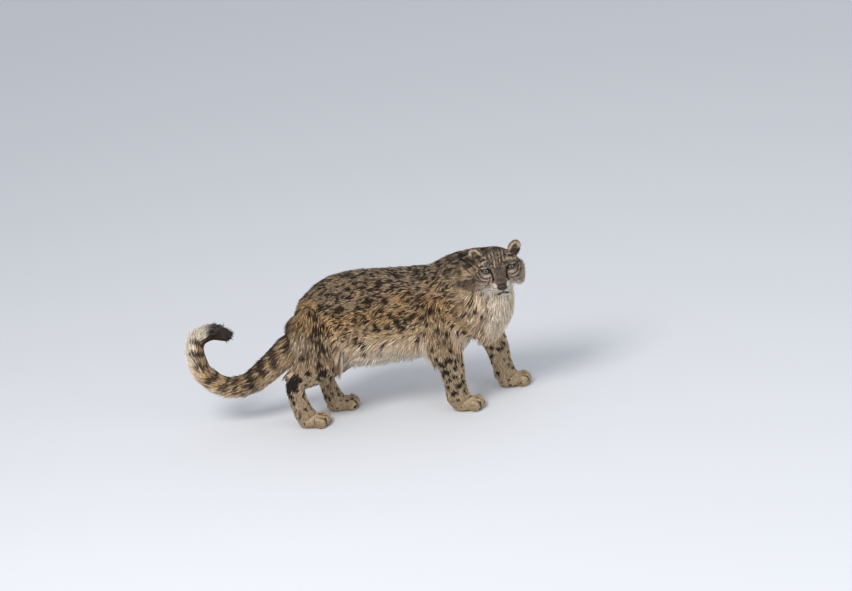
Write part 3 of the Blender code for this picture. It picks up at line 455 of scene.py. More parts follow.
# %%
class Where:
    """What the script knows about points on the skin: their part, their lie and their place on the head.

    The named parts are numbers from 0 to 1 for each point.
    """

    BATCH = 20000

    def __init__(self, points, normals):
        """Works everything out once, for points and the way the skin faces there."""
        self.points, self.normals = points, normals
        self.follow_lines()
        self.place_on_head()
        self.name_body()
        self.name_head()
        self.long = np.clip(self.belly + self.bib + self.fringe + self.tail + self.ruff, 0, 1)

    def follow_lines(self):
        """The hair's run and each line's weight, from the middle lines of the parts."""
        count = len(self.points)
        self.run, self.share = np.zeros((count, 3)), np.zeros(count)
        self.parts = np.zeros((count, len(LINES)))
        for start in range(0, count, self.BATCH):
            part = slice(start, start + self.BATCH)
            away = np.linalg.norm(self.points[part, None] - line_at[None], axis=2) / line_size
            weight = away ** -9
            weight /= weight.sum(1, keepdims=True)
            self.share[part] = line_share[away.argmin(1)]
            self.run[part] = weight @ line_run
            for kind in range(len(LINES)):
                self.parts[part, kind] = weight[:, line_kind == kind].sum(1)
        self.kind = self.parts.argmax(1)

    def place_on_head(self):
        """The place in the head's own frame, how far it is head, and the run away from the nose."""
        self.local = self.points @ head_in[:3, :3].T + head_in[:3, 3]
        past = (self.points - np.array(NECK_CUT_AT)) @ np.array(NECK_CUT_RUN)
        self.near = np.linalg.norm(self.local / HEAD_REACH, axis=1)
        self.head = smooth(-0.025, 0.025, past) * smooth(1.15, 0.95, self.near)
        from_nose = unit(self.local - np.array(NOSE_TIP)) @ head_turn.T
        self.run = unit(self.run * (1 - self.head[:, None]) + from_nose * self.head[:, None])

    def name_body(self):
        """The tail, legs, paws, belly, bib at the chest and fringe at the back of the thighs."""
        x, y, z = self.points.T
        nx = self.normals[:, 0]
        body = 1 - self.head
        self.tail = ((self.kind == LINE_NAMES.index("tail")) * smooth(0.02, 0.09, self.share)
                     + smooth(-0.40, -0.45, x) * (z > 0.25)).clip(0, 1) * (x < -0.36)
        limbs = smooth(0.35, 0.75, self.parts[:, [LINE_NAMES.index(name) for name in LEGS]].sum(1))
        self.leg = limbs * smooth(0.285, 0.235, z) * body * (1 - self.tail)
        self.limb = limbs * (1 - self.leg) * body * (1 - self.tail)
        self.paw = smooth(0.080, 0.055, z) * (1 - self.tail)
        limbs = np.maximum(limbs, z < 0.18)
        self.belly = (smooth(0.385, 0.340, z) * smooth(-0.30, -0.25, x) * smooth(0.33, 0.28, x)
                      * (1 - limbs) * body * (1 - self.tail))
        ahead = np.maximum(smooth(0.0, 0.35, nx + 0.3 * (z < 0.45)), smooth(0.385, 0.425, x))
        self.bib = (smooth(0.29, 0.36, x) * ahead * smooth(0.585, 0.53, z) * smooth(0.22, 0.26, z)
                    * body * (1 - limbs))
        self.fringe = (smooth(-0.25, -0.55, nx) * smooth(0.26, 0.31, z) * smooth(0.43, 0.38, z)
                       * smooth(-0.31, -0.36, x) * (1 - self.tail) * body)

    def name_head(self):
        """The face, ruff, jowls and ears, the head's front, and the neck behind it."""
        hx, hy, hz = self.local.T
        aside = np.abs(hy)
        self.face = self.head * smooth(-0.01, 0.03, hx) * smooth(0.085, 0.070, aside)
        self.ruff = (self.head * smooth(0.07, 0.02, hx) * smooth(0.045, 0.07, aside)
                     * smooth(0.02, -0.02, hz))
        self.jowl = (self.head * smooth(0.045, 0.062, aside) * smooth(-0.015, -0.045, hz)
                     * smooth(0.085, 0.060, hx))
        self.ear = (smooth(0.048, 0.060, hz) * smooth(0.045, 0.058, aside)
                    * smooth(1.0, 0.9, self.near) * self.head)
        self.front = self.head * smooth(-0.055, -0.015, hx)
        self.neckish = smooth(0.24, 0.34, self.points[:, 0]) * (1 - self.front)

    def blend(self, default, **others):
        """A number for each point, from a default and its value on named parts."""
        value = np.full(len(self.points), float(default))
        for name, number in others.items():
            share = getattr(self, name)
            value = value * (1 - share) + number * share
        return value


def mesh_points(mesh):
    """A mesh's points and their normals."""
    points, normals = np.zeros(len(mesh.vertices) * 3), np.zeros(len(mesh.vertices) * 3)
    mesh.vertices.foreach_get("co", points)
    mesh.vertices.foreach_get("normal", normals)
    return points.reshape(-1, 3), normals.reshape(-1, 3)


def weigh(thing, name, weights):
    """Keeps a weight for each point, in tenths, for a modifier to follow."""
    group = thing.vertex_groups.new(name=name)
    levels = (np.round(weights * 10)).astype(int)
    for level in range(1, 11):
        group.add(np.flatnonzero(levels == level).tolist(), level / 10, "REPLACE")


print("tools for places on the skin")

# %% [markdown]
# The melted forms still show where they meet. Smoothing takes that away, much on the body and little on
# the head and paws, whose small forms have to stay.

# %%
points, normals = mesh_points(skin.data)
where = Where(points, normals)
weigh(skin, "broad", np.clip(1 - where.head - where.paw, 0, 1))
soften = skin.modifiers.new("Soften", "SMOOTH")
soften.factor = 0.5
soften.iterations = 155
soften.vertex_group = "broad"
even = skin.modifiers.new("Even", "SMOOTH")
even.factor = 0.5
even.iterations = 8
apply_modifiers(skin)
print("skin softened")

# %% [markdown]
# The solids reach out to the tips of the coat, so the skin under it is drawn in: most on the flanks and
# thighs, little on the face and paws, and by the core's depth only where the long locks are part of
# the solids. The eyes press their sockets into it, and the mouth its groove.
# Points are moved rather than cut, which keeps the skin one closed surface.

# %%
FLANK_DEPTH = 0.0085
GROOVE = 0.0028
LEAST_HEIGHT = 0.0008
SHARE_KEPT = 0.36


def eye_place(side):
    """Where an eye's ball sits and how it is turned: +X looks out of it. Side 1 is the left eye."""
    return (HEAD @ Matrix.Translation((EYE_AT.x, side * EYE_AT.y, EYE_AT.z))
            @ Matrix.Rotation(side * EYE_OUTWARD, 4, "Z") @ Matrix.Rotation(side * EYE_SLANT, 4, "X"))


def opening(y, z):
    """One on the rim of the eye's opening, an almond, and less inside it."""
    across = np.clip(y / LID_HALF_WIDTH, -1, 1)
    return np.sqrt((y / LID_HALF_WIDTH) ** 2 + (z / (LID_HALF_HEIGHT * (1 - LID_POINT * across ** 2))) ** 2)


def press_eye(points, side):
    """Sinks the skin behind the eye's opening and raises it to the lids round it."""
    place = eye_place(side)
    inward = np.array(place.inverted())
    local = points @ inward[:3, :3].T + inward[:3, 3]
    x, y, z = local.T
    apart = opening(y, z)
    near = (x > 0) & (apart < 2.2)
    ball = np.sqrt(np.maximum(EYE_RADIUS ** 2 - y ** 2 - z ** 2, 0))
    inside = near & (apart < 0.95)
    x[inside] = np.minimum(x[inside], ball[inside] - 0.004)
    rim = near & (apart >= 0.95) & (ball > 0)
    lift = ball[rim] + 0.0022 * smooth(1.9, 1.1, apart[rim])
    x[rim] = np.maximum(x[rim], lift * smooth(2.1, 1.5, apart[rim]) + x[rim] * smooth(1.5, 2.1, apart[rim]))
    fold = near & (z > 0)
    x[fold] -= 0.0022 * np.exp(-((apart[fold] - 1.55) / 0.13) ** 2)
    back_out = np.array(place)
    points[near] = local[near] @ back_out[:3, :3].T + back_out[:3, 3]


def distance_to_line(points, line):
    """How far each point is from a run of straight pieces."""
    line = [np.array(p, float) for p in line]
    nearest = np.full(len(points), 9.0)
    for a, b in zip(line, line[1:]):
        along = np.clip((points - a) @ (b - a) / max((b - a) @ (b - a), 1e-12), 0, 1)
        nearest = np.minimum(nearest, np.linalg.norm(points - a - along[:, None] * (b - a), axis=1))
    return nearest


points, normals = mesh_points(skin.data)
where = Where(points, normals)
depth = where.blend(FLANK_DEPTH, leg=0.0055, head=0.0032, long=0.0030, paw=0.0030, ear=0.0012)
points = points - normals * depth[:, None]
MOUTH_LINE = [Vector(p) for p in MOUTH] + [Vector((x, -y, z)) for x, y, z in MOUTH[-2::-1]]
groove = distance_to_line(points, [HEAD @ p for p in MOUTH_LINE])
points = points - normals * (GROOVE * np.exp(-(groove / GROOVE) ** 2))[:, None]
for side in (1, -1):
    press_eye(points, side)
points[:, 2] = np.maximum(points[:, 2], LEAST_HEIGHT)
skin.data.vertices.foreach_set("co", points.ravel())
skin.data.update()
weigh(skin, "plain", np.clip(1 - where.head, 0, 1))
thin = skin.modifiers.new("Thin", "DECIMATE")
thin.ratio = SHARE_KEPT
thin.vertex_group = "plain"
triangles = skin.modifiers.new("Triangles", "TRIANGULATE")
apply_modifiers(skin)
print("skin with", len(skin.data.polygons), "triangles")

# %% [markdown]
# The skin is unwrapped by its own shape. Every tuft later gets a small patch of that unwrap, at the place
# where it grows, so that each keeps a colour of its own.

# %%
bpy.context.view_layer.objects.active = skin
skin.select_set(True)
bpy.ops.object.mode_set(mode="EDIT")
bpy.ops.mesh.select_all(action="SELECT")
bpy.ops.uv.smart_project(angle_limit=math.radians(70), island_margin=0.001)
bpy.ops.object.mode_set(mode="OBJECT")
skin.select_set(False)
skin.data.uv_layers[0].name = "OFBake"
points, normals = mesh_points(skin.data)
corners = np.zeros(len(skin.data.loops), int)
skin.data.loops.foreach_get("vertex_index", corners)
corners = corners.reshape(-1, 3)
unwrap = np.zeros(len(skin.data.loops) * 2)
skin.data.uv_layers[0].data.foreach_get("uv", unwrap)
unwrap = unwrap.reshape(-1, 3, 2)
where = Where(points, normals)
print("unwrapped", len(corners), "triangles")

# %% [markdown]
# ## Markings
# The ground runs from grey-brown on the back over gold on the flanks to cream below. Broken rings lie
# on the flanks, solid spots on the legs and neck, cross marks on the tail and fine lines on the face.
# They could be painted on the skin. They are worked out by formulas for any point instead, so that the
# skin and the coat over it carry the same ones. First come the colours, as seen, and a soft noise.

# %%
def paint(red, green, blue):
    """A colour as seen, 0 to 255, as the light values that the materials use."""
    return (np.array((red, green, blue)) / 255) ** 2.2


GOLD = paint(200, 160, 114)
PALE_GOLD = paint(218, 186, 148)
GREY_GOLD = paint(166, 144, 118)
CREAM = paint(230, 202, 172)
WHITE = paint(240, 226, 208)
LEG_GOLD = paint(216, 188, 154)
MARK = paint(36, 29, 25)
BROWN_MARK = paint(48, 35, 26)
BACK_DARK = paint(50, 47, 42)
FACE = paint(160, 139, 123)
BRIDGE_BROWN = paint(118, 102, 92)
CHEEK = paint(224, 196, 180)
LATTICE = 64
OCTAVE_WEIGHT = 0.55
lattice = chance.random((LATTICE, LATTICE, LATTICE))


def cloud(points, fineness, octaves=1, shift=0.0):
    """Soft noise from -1 to 1 whose blobs are about 1 / fineness metres wide."""
    total, scale = np.zeros(len(points)), 1.0
    for octave in range(octaves):
        spot = points * fineness * 2 ** octave + 17.3 + shift + 5.1 * octave
        base = np.floor(spot).astype(int)
        t = spot - base
        t = t * t * (3 - 2 * t)
        value = 0
        for corner in range(8):
            step = np.array((corner & 1, corner >> 1 & 1, corner >> 2 & 1))
            share = np.prod(np.where(step, t, 1 - t), axis=1)
            cell = (base + step) % LATTICE
            value = value + share * lattice[cell[:, 0], cell[:, 1], cell[:, 2]]
        total += (value - 0.5) * 2 * scale
        scale *= OCTAVE_WEIGHT
    return total


print("palette and noise")

# %% [markdown]
# The marks keep their distance from one another, as on the animal. The boldest are set one by one as the
# photo shows them, on the right side, and a little further forward on the left one. The others fall
# by chance on what room is left, with the size that each part has.

# %%
MARK_GAP = 0.92
LEFT_SHIFT = 0.018
SEEDS = 14000
BOLD_MARKS = (  # as seen on the right side: x, height, radius
    (-0.310, 0.240, 0.030), (-0.365, 0.160, 0.020), (-0.195, 0.260, 0.016), (-0.250, 0.295, 0.014),
    (-0.455, 0.190, 0.024), (-0.415, 0.230, 0.019), (-0.470, 0.145, 0.016), (-0.405, 0.085, 0.008),
    (-0.445, 0.065, 0.008), (-0.375, 0.260, 0.014), (-0.320, 0.290, 0.014), (-0.385, 0.325, 0.012),
    (-0.135, 0.350, 0.016), (-0.150, 0.370, 0.015), (-0.125, 0.320, 0.010), (-0.030, 0.340, 0.009),
    (-0.040, 0.410, 0.017), (-0.060, 0.428, 0.015), (0.005, 0.415, 0.013), (0.055, 0.405, 0.018),
    (0.035, 0.430, 0.013), (0.105, 0.345, 0.011), (0.145, 0.370, 0.010), (0.250, 0.380, 0.012),
    (0.262, 0.340, 0.012), (0.295, 0.345, 0.014), (0.228, 0.360, 0.012), (0.385, 0.485, 0.010),
    (0.340, 0.460, 0.010), (0.380, 0.405, 0.009), (0.310, 0.425, 0.010), (0.358, 0.435, 0.009),
    (0.215, 0.240, 0.015), (0.235, 0.195, 0.013), (0.195, 0.193, 0.013), (0.210, 0.150, 0.013),
    (0.232, 0.120, 0.013), (0.200, 0.090, 0.013), (0.250, 0.158, 0.010), (0.270, 0.205, 0.012),
    (0.222, 0.065, 0.011), (0.182, 0.144, 0.010), (0.185, 0.223, 0.014), (0.258, 0.247, 0.014),
    (0.234, 0.285, 0.014), (0.150, 0.300, 0.010), (0.290, 0.300, 0.011), (-0.480, 0.175, 0.020),
    (-0.440, 0.218, 0.020), (-0.462, 0.120, 0.011), (-0.487, 0.212, 0.020),
)


def mark_size(where):
    """The marks' radius at each point."""
    return where.blend(0.027, neckish=0.017, limb=0.021, leg=0.0165, front=0.010, tail=0.03, paw=0.012)


kept_at, kept_size = [], []
for x, z, radius in BOLD_MARKS:
    for side in (-1, 1):
        shift = 0.0 if side < 0 else LEFT_SHIFT
        near = np.hypot(points[:, 0] - x - shift, points[:, 2] - z)
        near = near + 0.3 * np.maximum(0, 0.3 - side * points[:, 1])
        kept_at.append(points[near.argmin()])
        kept_size.append(radius)
bold_count = len(kept_at)
kept_array, kept_sizes = np.array(kept_at), np.array(kept_size)
seeds = chance.permutation(len(points))[:SEEDS]
seed_sizes = mark_size(where)[seeds] * chance.uniform(0.8, 1.2, len(seeds))
for at, size in zip(points[seeds], seed_sizes):
    if (np.linalg.norm(kept_array - at, axis=1) > MARK_GAP * (kept_sizes + size)).all():
        kept_array, kept_sizes = np.vstack([kept_array, at]), np.append(kept_sizes, size)
bold = np.arange(len(kept_sizes)) < bold_count
print(len(kept_sizes), "marks placed")

# %% [markdown]
# The face's own pattern is finer than the body's: dark lines from the brow to the crown, round the eyes
# and over the cheeks, with pale lines between them. They are short runs of points that formulas widen
# into soft strokes, for both sides at once, as the face is nearly even-sided.

# %%
FACE_LINES = (  # dark lines: half width, then points across and up
    (0.0020, ((0.079, 0.046), (0.052, 0.062), (0.020, 0.066))),
    (0.0022, ((0.080, 0.018), (0.068, 0.032), (0.046, 0.037), (0.026, 0.026))),
    (0.0020, ((0.004, 0.014), (0.007, 0.030), (0.006, 0.046))),
    (0.0020, ((0.006, 0.056), (0.008, 0.068), (0.005, 0.082))),
    (0.0020, ((0.016, 0.018), (0.020, 0.034), (0.016, 0.046))),
    (0.0020, ((0.019, 0.052), (0.022, 0.062), (0.017, 0.078))),
    (0.0020, ((0.031, 0.042), (0.036, 0.050), (0.033, 0.058))),
    (0.0018, ((0.048, 0.050), (0.060, 0.048), (0.070, 0.040))),
    (0.0022, ((0.081, 0.000), (0.070, -0.016), (0.050, -0.021), (0.036, -0.016))),
    (0.0022, ((0.086, -0.012), (0.074, -0.028), (0.054, -0.033))),
    (0.0024, ((0.031, 0.004), (0.027, -0.018), (0.034, -0.036))),
    (0.0020, ((0.040, -0.024), (0.052, -0.042), (0.053, -0.054))),
    (0.0022, ((0.092, 0.022), (0.096, 0.000), (0.094, -0.018))),
    (0.0020, ((0.064, -0.038), (0.088, -0.030))),
    (0.0020, ((0.060, -0.052), (0.084, -0.048))),
    (0.0020, ((0.070, -0.064), (0.088, -0.060))),
    (0.0015, ((0.018, -0.056), (0.036, -0.052))),
    (0.0015, ((0.018, -0.063), (0.038, -0.060))),
    (0.0015, ((0.018, -0.070), (0.038, -0.069))),
)
PALE_LINES = (  # pale lines, in the same way
    (0.0026, ((0.084, 0.053), (0.052, 0.072), (0.014, 0.078))),
    (0.0026, ((0.074, 0.036), (0.050, 0.047), (0.028, 0.040))),
    (0.0026, ((0.087, 0.024), (0.088, 0.004), (0.078, -0.008))),
    (0.0026, ((0.078, -0.020), (0.056, -0.027), (0.040, -0.022))),
    (0.0024, ((0.060, -0.045), (0.084, -0.040))),
    (0.0020, ((0.011, 0.020), (0.012, 0.046))),
    (0.0020, ((0.012, 0.054), (0.013, 0.076))),
    (0.0022, ((0.026, 0.046), (0.027, 0.070))),
)
PALE_SPOTS = (  # pale patches on the face: across, up, half width, half height, strength
    (0.058, 0.023, 0.012, 0.004, 0.7),  # over the eye
    (0.050, -0.009, 0.014, 0.0035, 0.6),  # under the eye
    (0.024, -0.068, 0.020, 0.012, 0.9),  # whisker pad
    (0.008, -0.094, 0.022, 0.012, 0.8),  # chin
    (0.060, -0.056, 0.028, 0.016, 0.5),  # cheek
)
print(len(FACE_LINES), "dark and", len(PALE_LINES), "pale lines on the face")

# %% [markdown]
# The colour of any point is laid down in layers, light ones first, the way a taxidermist tints a coat.
# The grooves between the toes get painted shade, and every mark has a ragged edge.

# %%
def mix(colours, other, share):
    """Lays another colour over the colours, as strongly as the share at each point."""
    return colours * (1 - share[:, None]) + np.asarray(other) * share[:, None]


def toe_gap_shade(points):
    """Painted shade: one in the grooves between the toes, fading to nought beside them."""
    gaps = np.zeros(len(points))
    for rows in LEGS.values():
        side = 1 if rows[0][1] > 0 else -1
        turn = side * PAW_TURN
        dx, dy = points[:, 0] - rows[-1][0] - PAW_LENGTH * 0.20, points[:, 1] - rows[-1][1]
        ahead = dx * math.cos(turn) + dy * math.sin(turn)
        across = dy * math.cos(turn) - dx * math.sin(turn)
        for gap in (-0.68, 0.0, 0.68):
            off = across - PAW_WIDTH * TOE_SPREAD * gap * (1 + 1.5 * (ahead - 0.05))
            near = np.exp(-(off / 0.0032) ** 2) * smooth(0.036, 0.050, ahead) * (ahead < 0.10)
            gaps = np.maximum(gaps, near * smooth(0.062, 0.042, points[:, 2]))
    return gaps


def nearest_mark(points, leg):
    """How far the nearest mark's middle is, in its radii, and how far out that mark is solid."""
    wobble = np.stack([cloud(points, 32, 2, shift) for shift in (0.0, 31.0, 62.0)], axis=1)
    warped = points + (0.007 + 0.003 * leg)[:, None] * wobble
    nearest, edge = np.full(len(points), 9.0), np.zeros(len(points))
    for start in range(0, len(points), Where.BATCH // 2):
        part = slice(start, start + Where.BATCH // 2)
        apart = np.linalg.norm(warped[part, None] - kept_array[None], axis=2) / kept_sizes
        nearest[part] = apart.min(1)
        edge[part] = np.where(bold[apart.argmin(1)], 1.05, 0.66)
    return nearest, edge


print("tools for colours")

# %% [markdown]
# The tail has cross marks on its upper side, which run together towards its black tip, and is cream on
# the outer side near the end.

# %%
def tail_colour(where, colours, fleck):
    """Cross marks on the tail's upper side, a cream outer side near the end and a black tip."""
    share = where.share
    upper = unit(np.cross(np.array(SIDEWAYS), unit(where.run)))
    side = (where.normals * upper).sum(1) + 0.22 * cloud(where.points, 22, 2, 21.0)
    under = mix(np.tile(GREY_GOLD * 0.6 + GOLD * 0.4, (len(share), 1)), PALE_GOLD, smooth(0.3, -0.4, side))
    under = mix(under, CREAM, smooth(0.0, -0.7, side) * smooth(0.1, 0.5, share))
    under = mix(under, WHITE, smooth(0.58, 0.72, share) * smooth(0.5, -0.2, side) * 0.8)
    wave = np.cos(2 * np.pi * (share * 12 + 0.9 * cloud(where.points, 11, 1, 33.0)))
    bands = smooth(-0.55, 0.35, wave + 0.5 * fleck) * smooth(-0.65, 0.10, side + 0.3 * fleck)
    under = mix(under, mix(np.tile(MARK, (len(share), 1)), BROWN_MARK, smooth(0.6, 0.2, share)), bands * 0.88)
    under = mix(under, BROWN_MARK, smooth(0.1, 0.6, fleck) * smooth(0.6, 0.4, share) * 0.5)
    under = mix(under, BACK_DARK, smooth(0.55, 0.9, side) * smooth(0.55, 0.3, share) * 0.7)
    under = mix(under, MARK, smooth(0.84, 0.93, share + 0.06 * (side > 0)) * 0.92)
    return mix(colours, under, where.tail)


print("colours of the tail")

# %% [markdown]
# The head needs the finest colours, because viewers look there first: a brown bridge, pale cheeks and
# muzzle, dark rims and tear lines at the eyes, dark lips, a dark crown, and ears with pale fringes.

# %%
def head_colour(where, colours, fleck):
    """The face: brown bridge, pale cheeks and muzzle, fine dark and pale lines, and a dark crown."""
    hx, hy, hz = where.local.T
    across = np.abs(hy)
    front = np.stack([across, hz], axis=1) + 0.0014 * np.stack(
        [cloud(where.points, 90, 1, 4.0), cloud(where.points, 90, 1, 40.0)], axis=1)
    ahead = smooth(-0.03, 0.01, hx)
    face = mix(np.tile(GREY_GOLD, (len(hx), 1)), FACE, ahead)
    face = mix(face, MARK, (1 - ahead) * smooth(-0.15, 0.25, fleck + 0.5 * smooth(0.0, 0.05, hz)) * 0.8)
    # Pale cheeks and jowls, flecked at the sides.
    face = mix(face, CHEEK, smooth(0.000, -0.035, hz) * smooth(0.024, 0.042, across) * 0.85)
    aside = smooth(0.070, 0.088, across) * smooth(0.075, 0.04, hx)
    face = mix(face, PALE_GOLD, aside * 0.55)
    face = mix(face, CREAM, where.jowl * smooth(-0.045, -0.070, hz) * 0.8)
    face = mix(face, MARK, aside * smooth(0.05, 0.35, cloud(where.points, 62, 2, 200.0)) * 0.85)
    face = mix(face, BROWN_MARK, ahead * smooth(0.05, 0.5, fleck) * 0.45)
    # The brown bridge of the nose.
    bridge = smooth(0.024, 0.014, across + 0.10 * (hz + 0.03))
    bridge *= smooth(-0.062, -0.045, hz) * smooth(0.05, 0.0, hz)
    face = mix(face, BRIDGE_BROWN, bridge * 0.9)
    face = mix(face, BROWN_MARK, bridge * smooth(0.0, 0.35, cloud(where.points, 120, 1, 64.0)) * 0.45)
    # Dots on the forehead, pale patches, and the pale and dark lines, broken most on the forehead.
    dots = smooth(0.15, 0.45, cloud(where.points, 130, 1, 140.0)) * smooth(0.0, 0.03, hz)
    face = mix(face, MARK, dots * ahead * 0.7)
    for side, rise, half_width, half_height, strength in PALE_SPOTS:
        apart = np.sqrt(((front[:, 0] - side) / half_width) ** 2 + ((front[:, 1] - rise) / half_height) ** 2)
        face = mix(face, WHITE, smooth(1.2, 0.6, apart) * strength)
    for lines, colour, strength in ((PALE_LINES, CREAM, 0.75), (FACE_LINES, MARK, 0.88)):
        share = np.zeros(len(hx))
        for half, line in lines:
            share = np.maximum(share, smooth(half * 1.7, half * 0.5, distance_to_line(front, line)))
        streaky = smooth(0.012, 0.024, hz) * smooth(0.050, 0.038, across)
        gaps = cloud(where.points, 110, 1, 120.0) + 0.4 * smooth(0.03, 0.0, hz)
        breaks = smooth(-0.75 + 0.55 * streaky, -0.1 + 0.20 * streaky, gaps)
        face = mix(face, colour, share * breaks * ahead * strength)
    # White whisker pads and chin, with the whiskers' dark rows, and dark lips and nose rim.
    pad = smooth(0.010, 0.016, across) * smooth(-0.044, -0.052, hz) * smooth(0.055, 0.075, hx)
    beside = distance_to_line(front, ((0.004, -0.066), (0.018, -0.056), (0.026, -0.044), (0.036, -0.046)))
    pad = np.maximum(pad, smooth(0.0075, 0.0045, beside) * smooth(0.055, 0.075, hx))
    face = mix(face, WHITE * 1.1, np.maximum(pad, smooth(0.02, 0.05, hx) * smooth(-0.082, -0.090, hz)) * 0.95)
    lips = distance_to_line(where.local, MOUTH_LINE)
    face = mix(face, MARK, smooth(0.0100, 0.0065, lips) * smooth(0.045, 0.08, hx) * 0.9)
    for half, line in FACE_LINES[-3:]:
        face = mix(face, MARK, smooth(half * 1.7, half * 0.5, distance_to_line(front, line)) * pad * 0.6)
    nose = np.linalg.norm((where.local - np.array(NOSE_TIP)) / (0.014, 0.020, 0.013), axis=1)
    face = mix(face, MARK, smooth(1.25, 1.0, nose) * 0.9)
    # Dark rims and tear lines at the eyes, and a dark crown.
    eye = opening(across - EYE_AT.y, hz - EYE_AT.z)
    tear = distance_to_line(front, ((0.036, 0.006), (0.029, -0.008), (0.027, -0.024)))
    face = mix(face, MARK, np.maximum(smooth(1.75, 1.40, eye), smooth(0.0045, 0.0025, tear)) * ahead * 0.92)
    crown = np.maximum(smooth(0.058, 0.070, hz), smooth(0.0, -0.03, hx) * smooth(0.0, 0.04, hz))
    face = mix(face, MARK, crown * (0.50 + 0.45 * smooth(-0.3, 0.2, fleck)) * (1 - where.ear))
    # Ears with a pale fringe inside the rim, a dark rim, and a pale spot behind.
    facing = (where.normals @ head_turn)[:, 0]
    for side in (1, -1):
        inward = np.array(ear_turn(side).inverted().to_3x3())
        spot = (where.local - np.array((EAR_AT.x, side * EAR_AT.y, EAR_AT.z))) @ inward.T
        reach = np.hypot(spot[:, 1] / EAR_RADII[1], spot[:, 2] / EAR_RADII[2])
        on_ear = where.ear * (hy * side > 0)
        front_ear = on_ear * smooth(-0.1, 0.3, facing)
        face = mix(face, GREY_GOLD, on_ear * 0.6)
        flecked = smooth(-0.1, 0.3, fleck + 0.3 * cloud(where.points, 90, 1, 70.0))
        face = mix(face, MARK, on_ear * flecked * 0.75)
        face = mix(face, CREAM, front_ear * smooth(0.50, 0.65, reach) * smooth(0.97, 0.88, reach) * 0.85)
        face = mix(face, MARK, on_ear * smooth(0.90, 1.0, reach) * 0.8)
        face = mix(face, CREAM, on_ear * smooth(0.0, -0.4, facing) * smooth(0.5, 0.2, reach) * 0.6)
    return mix(colours, face, where.front)


print("colours of the head")

# %% [markdown]
# On the body the marks are broken rings high on the trunk and solid spots on neck and legs. They fade on
# the belly, chest and back of the thighs. The middle of the back is darkest.

# %%
def ground_colour(where, height, patch):
    """Gold that pales downwards, grey on the back, and cream below and behind."""
    x = where.points[:, 0]
    colours = np.tile(GOLD, (len(x), 1))
    for colour, share in (
        (PALE_GOLD, smooth(0.47, 0.37, height) * 0.9),  # lower flank
        (GREY_GOLD, smooth(0.44, 0.58, height + 0.06 * patch)),  # back
        (PALE_GOLD, smooth(0.20, 0.36, x) * smooth(0.60, 0.50, height) * 0.8),  # side of the neck
        (LEG_GOLD, np.maximum(where.leg, where.paw)),
        (CREAM, where.belly * smooth(0.385, 0.345, height)),
        (WHITE, where.belly * smooth(0.33, 0.28, height) * 0.7),
        (CREAM, where.bib * 0.7),
        (WHITE, where.bib * smooth(0.36, 0.42, x) * 0.6),
        (CREAM, where.fringe * 0.7),
    ):
        colours = mix(colours, colour, share)
    return colours


def body_marks(where, height, patch, fleck, tufty):
    """How strongly the marks show at each point, and their colour there."""
    x, z = where.points[:, 0], where.points[:, 2]
    nearest, edge = nearest_mark(where.points, where.leg)
    forward = smooth(-0.2, 0.5, where.normals[:, 0])
    pale = where.belly * smooth(0.365, 0.335, height) + where.bib * smooth(0.30, 0.38, x) * forward
    pale = np.clip(pale, 0, 1)
    spotted = where.leg + where.paw + 0.9 * where.neckish + where.limb * smooth(0.36, 0.26, z)
    spotted = np.clip(spotted, 0, 1)
    thigh = where.limb * smooth(0.0, -0.1, x)
    low = smooth(0.43, 0.37, z) * (1 - spotted) * (1 - where.tail) * (1 - thigh)
    # On the trunk a mark is a broken ring among flecks, on legs and neck it is solid.
    broken = smooth(-0.6, 0.3, cloud(where.points, 26, 2, 50.0))
    ring = np.exp(-((nearest - 0.68) / 0.22) ** 2) * broken * (edge < 1)
    ringed = smooth(0.0, 0.28, fleck + 0.80 * ring + 0.15 * patch - 0.10 - 0.50 * low + 0.16 * thigh)
    solid = smooth(0.10, -0.12, nearest - edge - 0.42 * fleck + 0.25 * where.paw)
    marks = np.maximum(ringed * (1 - spotted), solid * spotted)
    # The bold marks stay, also where the coat is pale.
    marks = np.maximum(marks * (1 - 0.97 * pale), solid * (edge > 1))
    marks = marks * (1 - 0.7 * np.maximum(where.fringe, tufty))
    trunk = (1 - spotted) * (1 - low) * (edge < 1)
    return marks, mix(np.tile(MARK, (len(x), 1)), BROWN_MARK, trunk * 0.9)


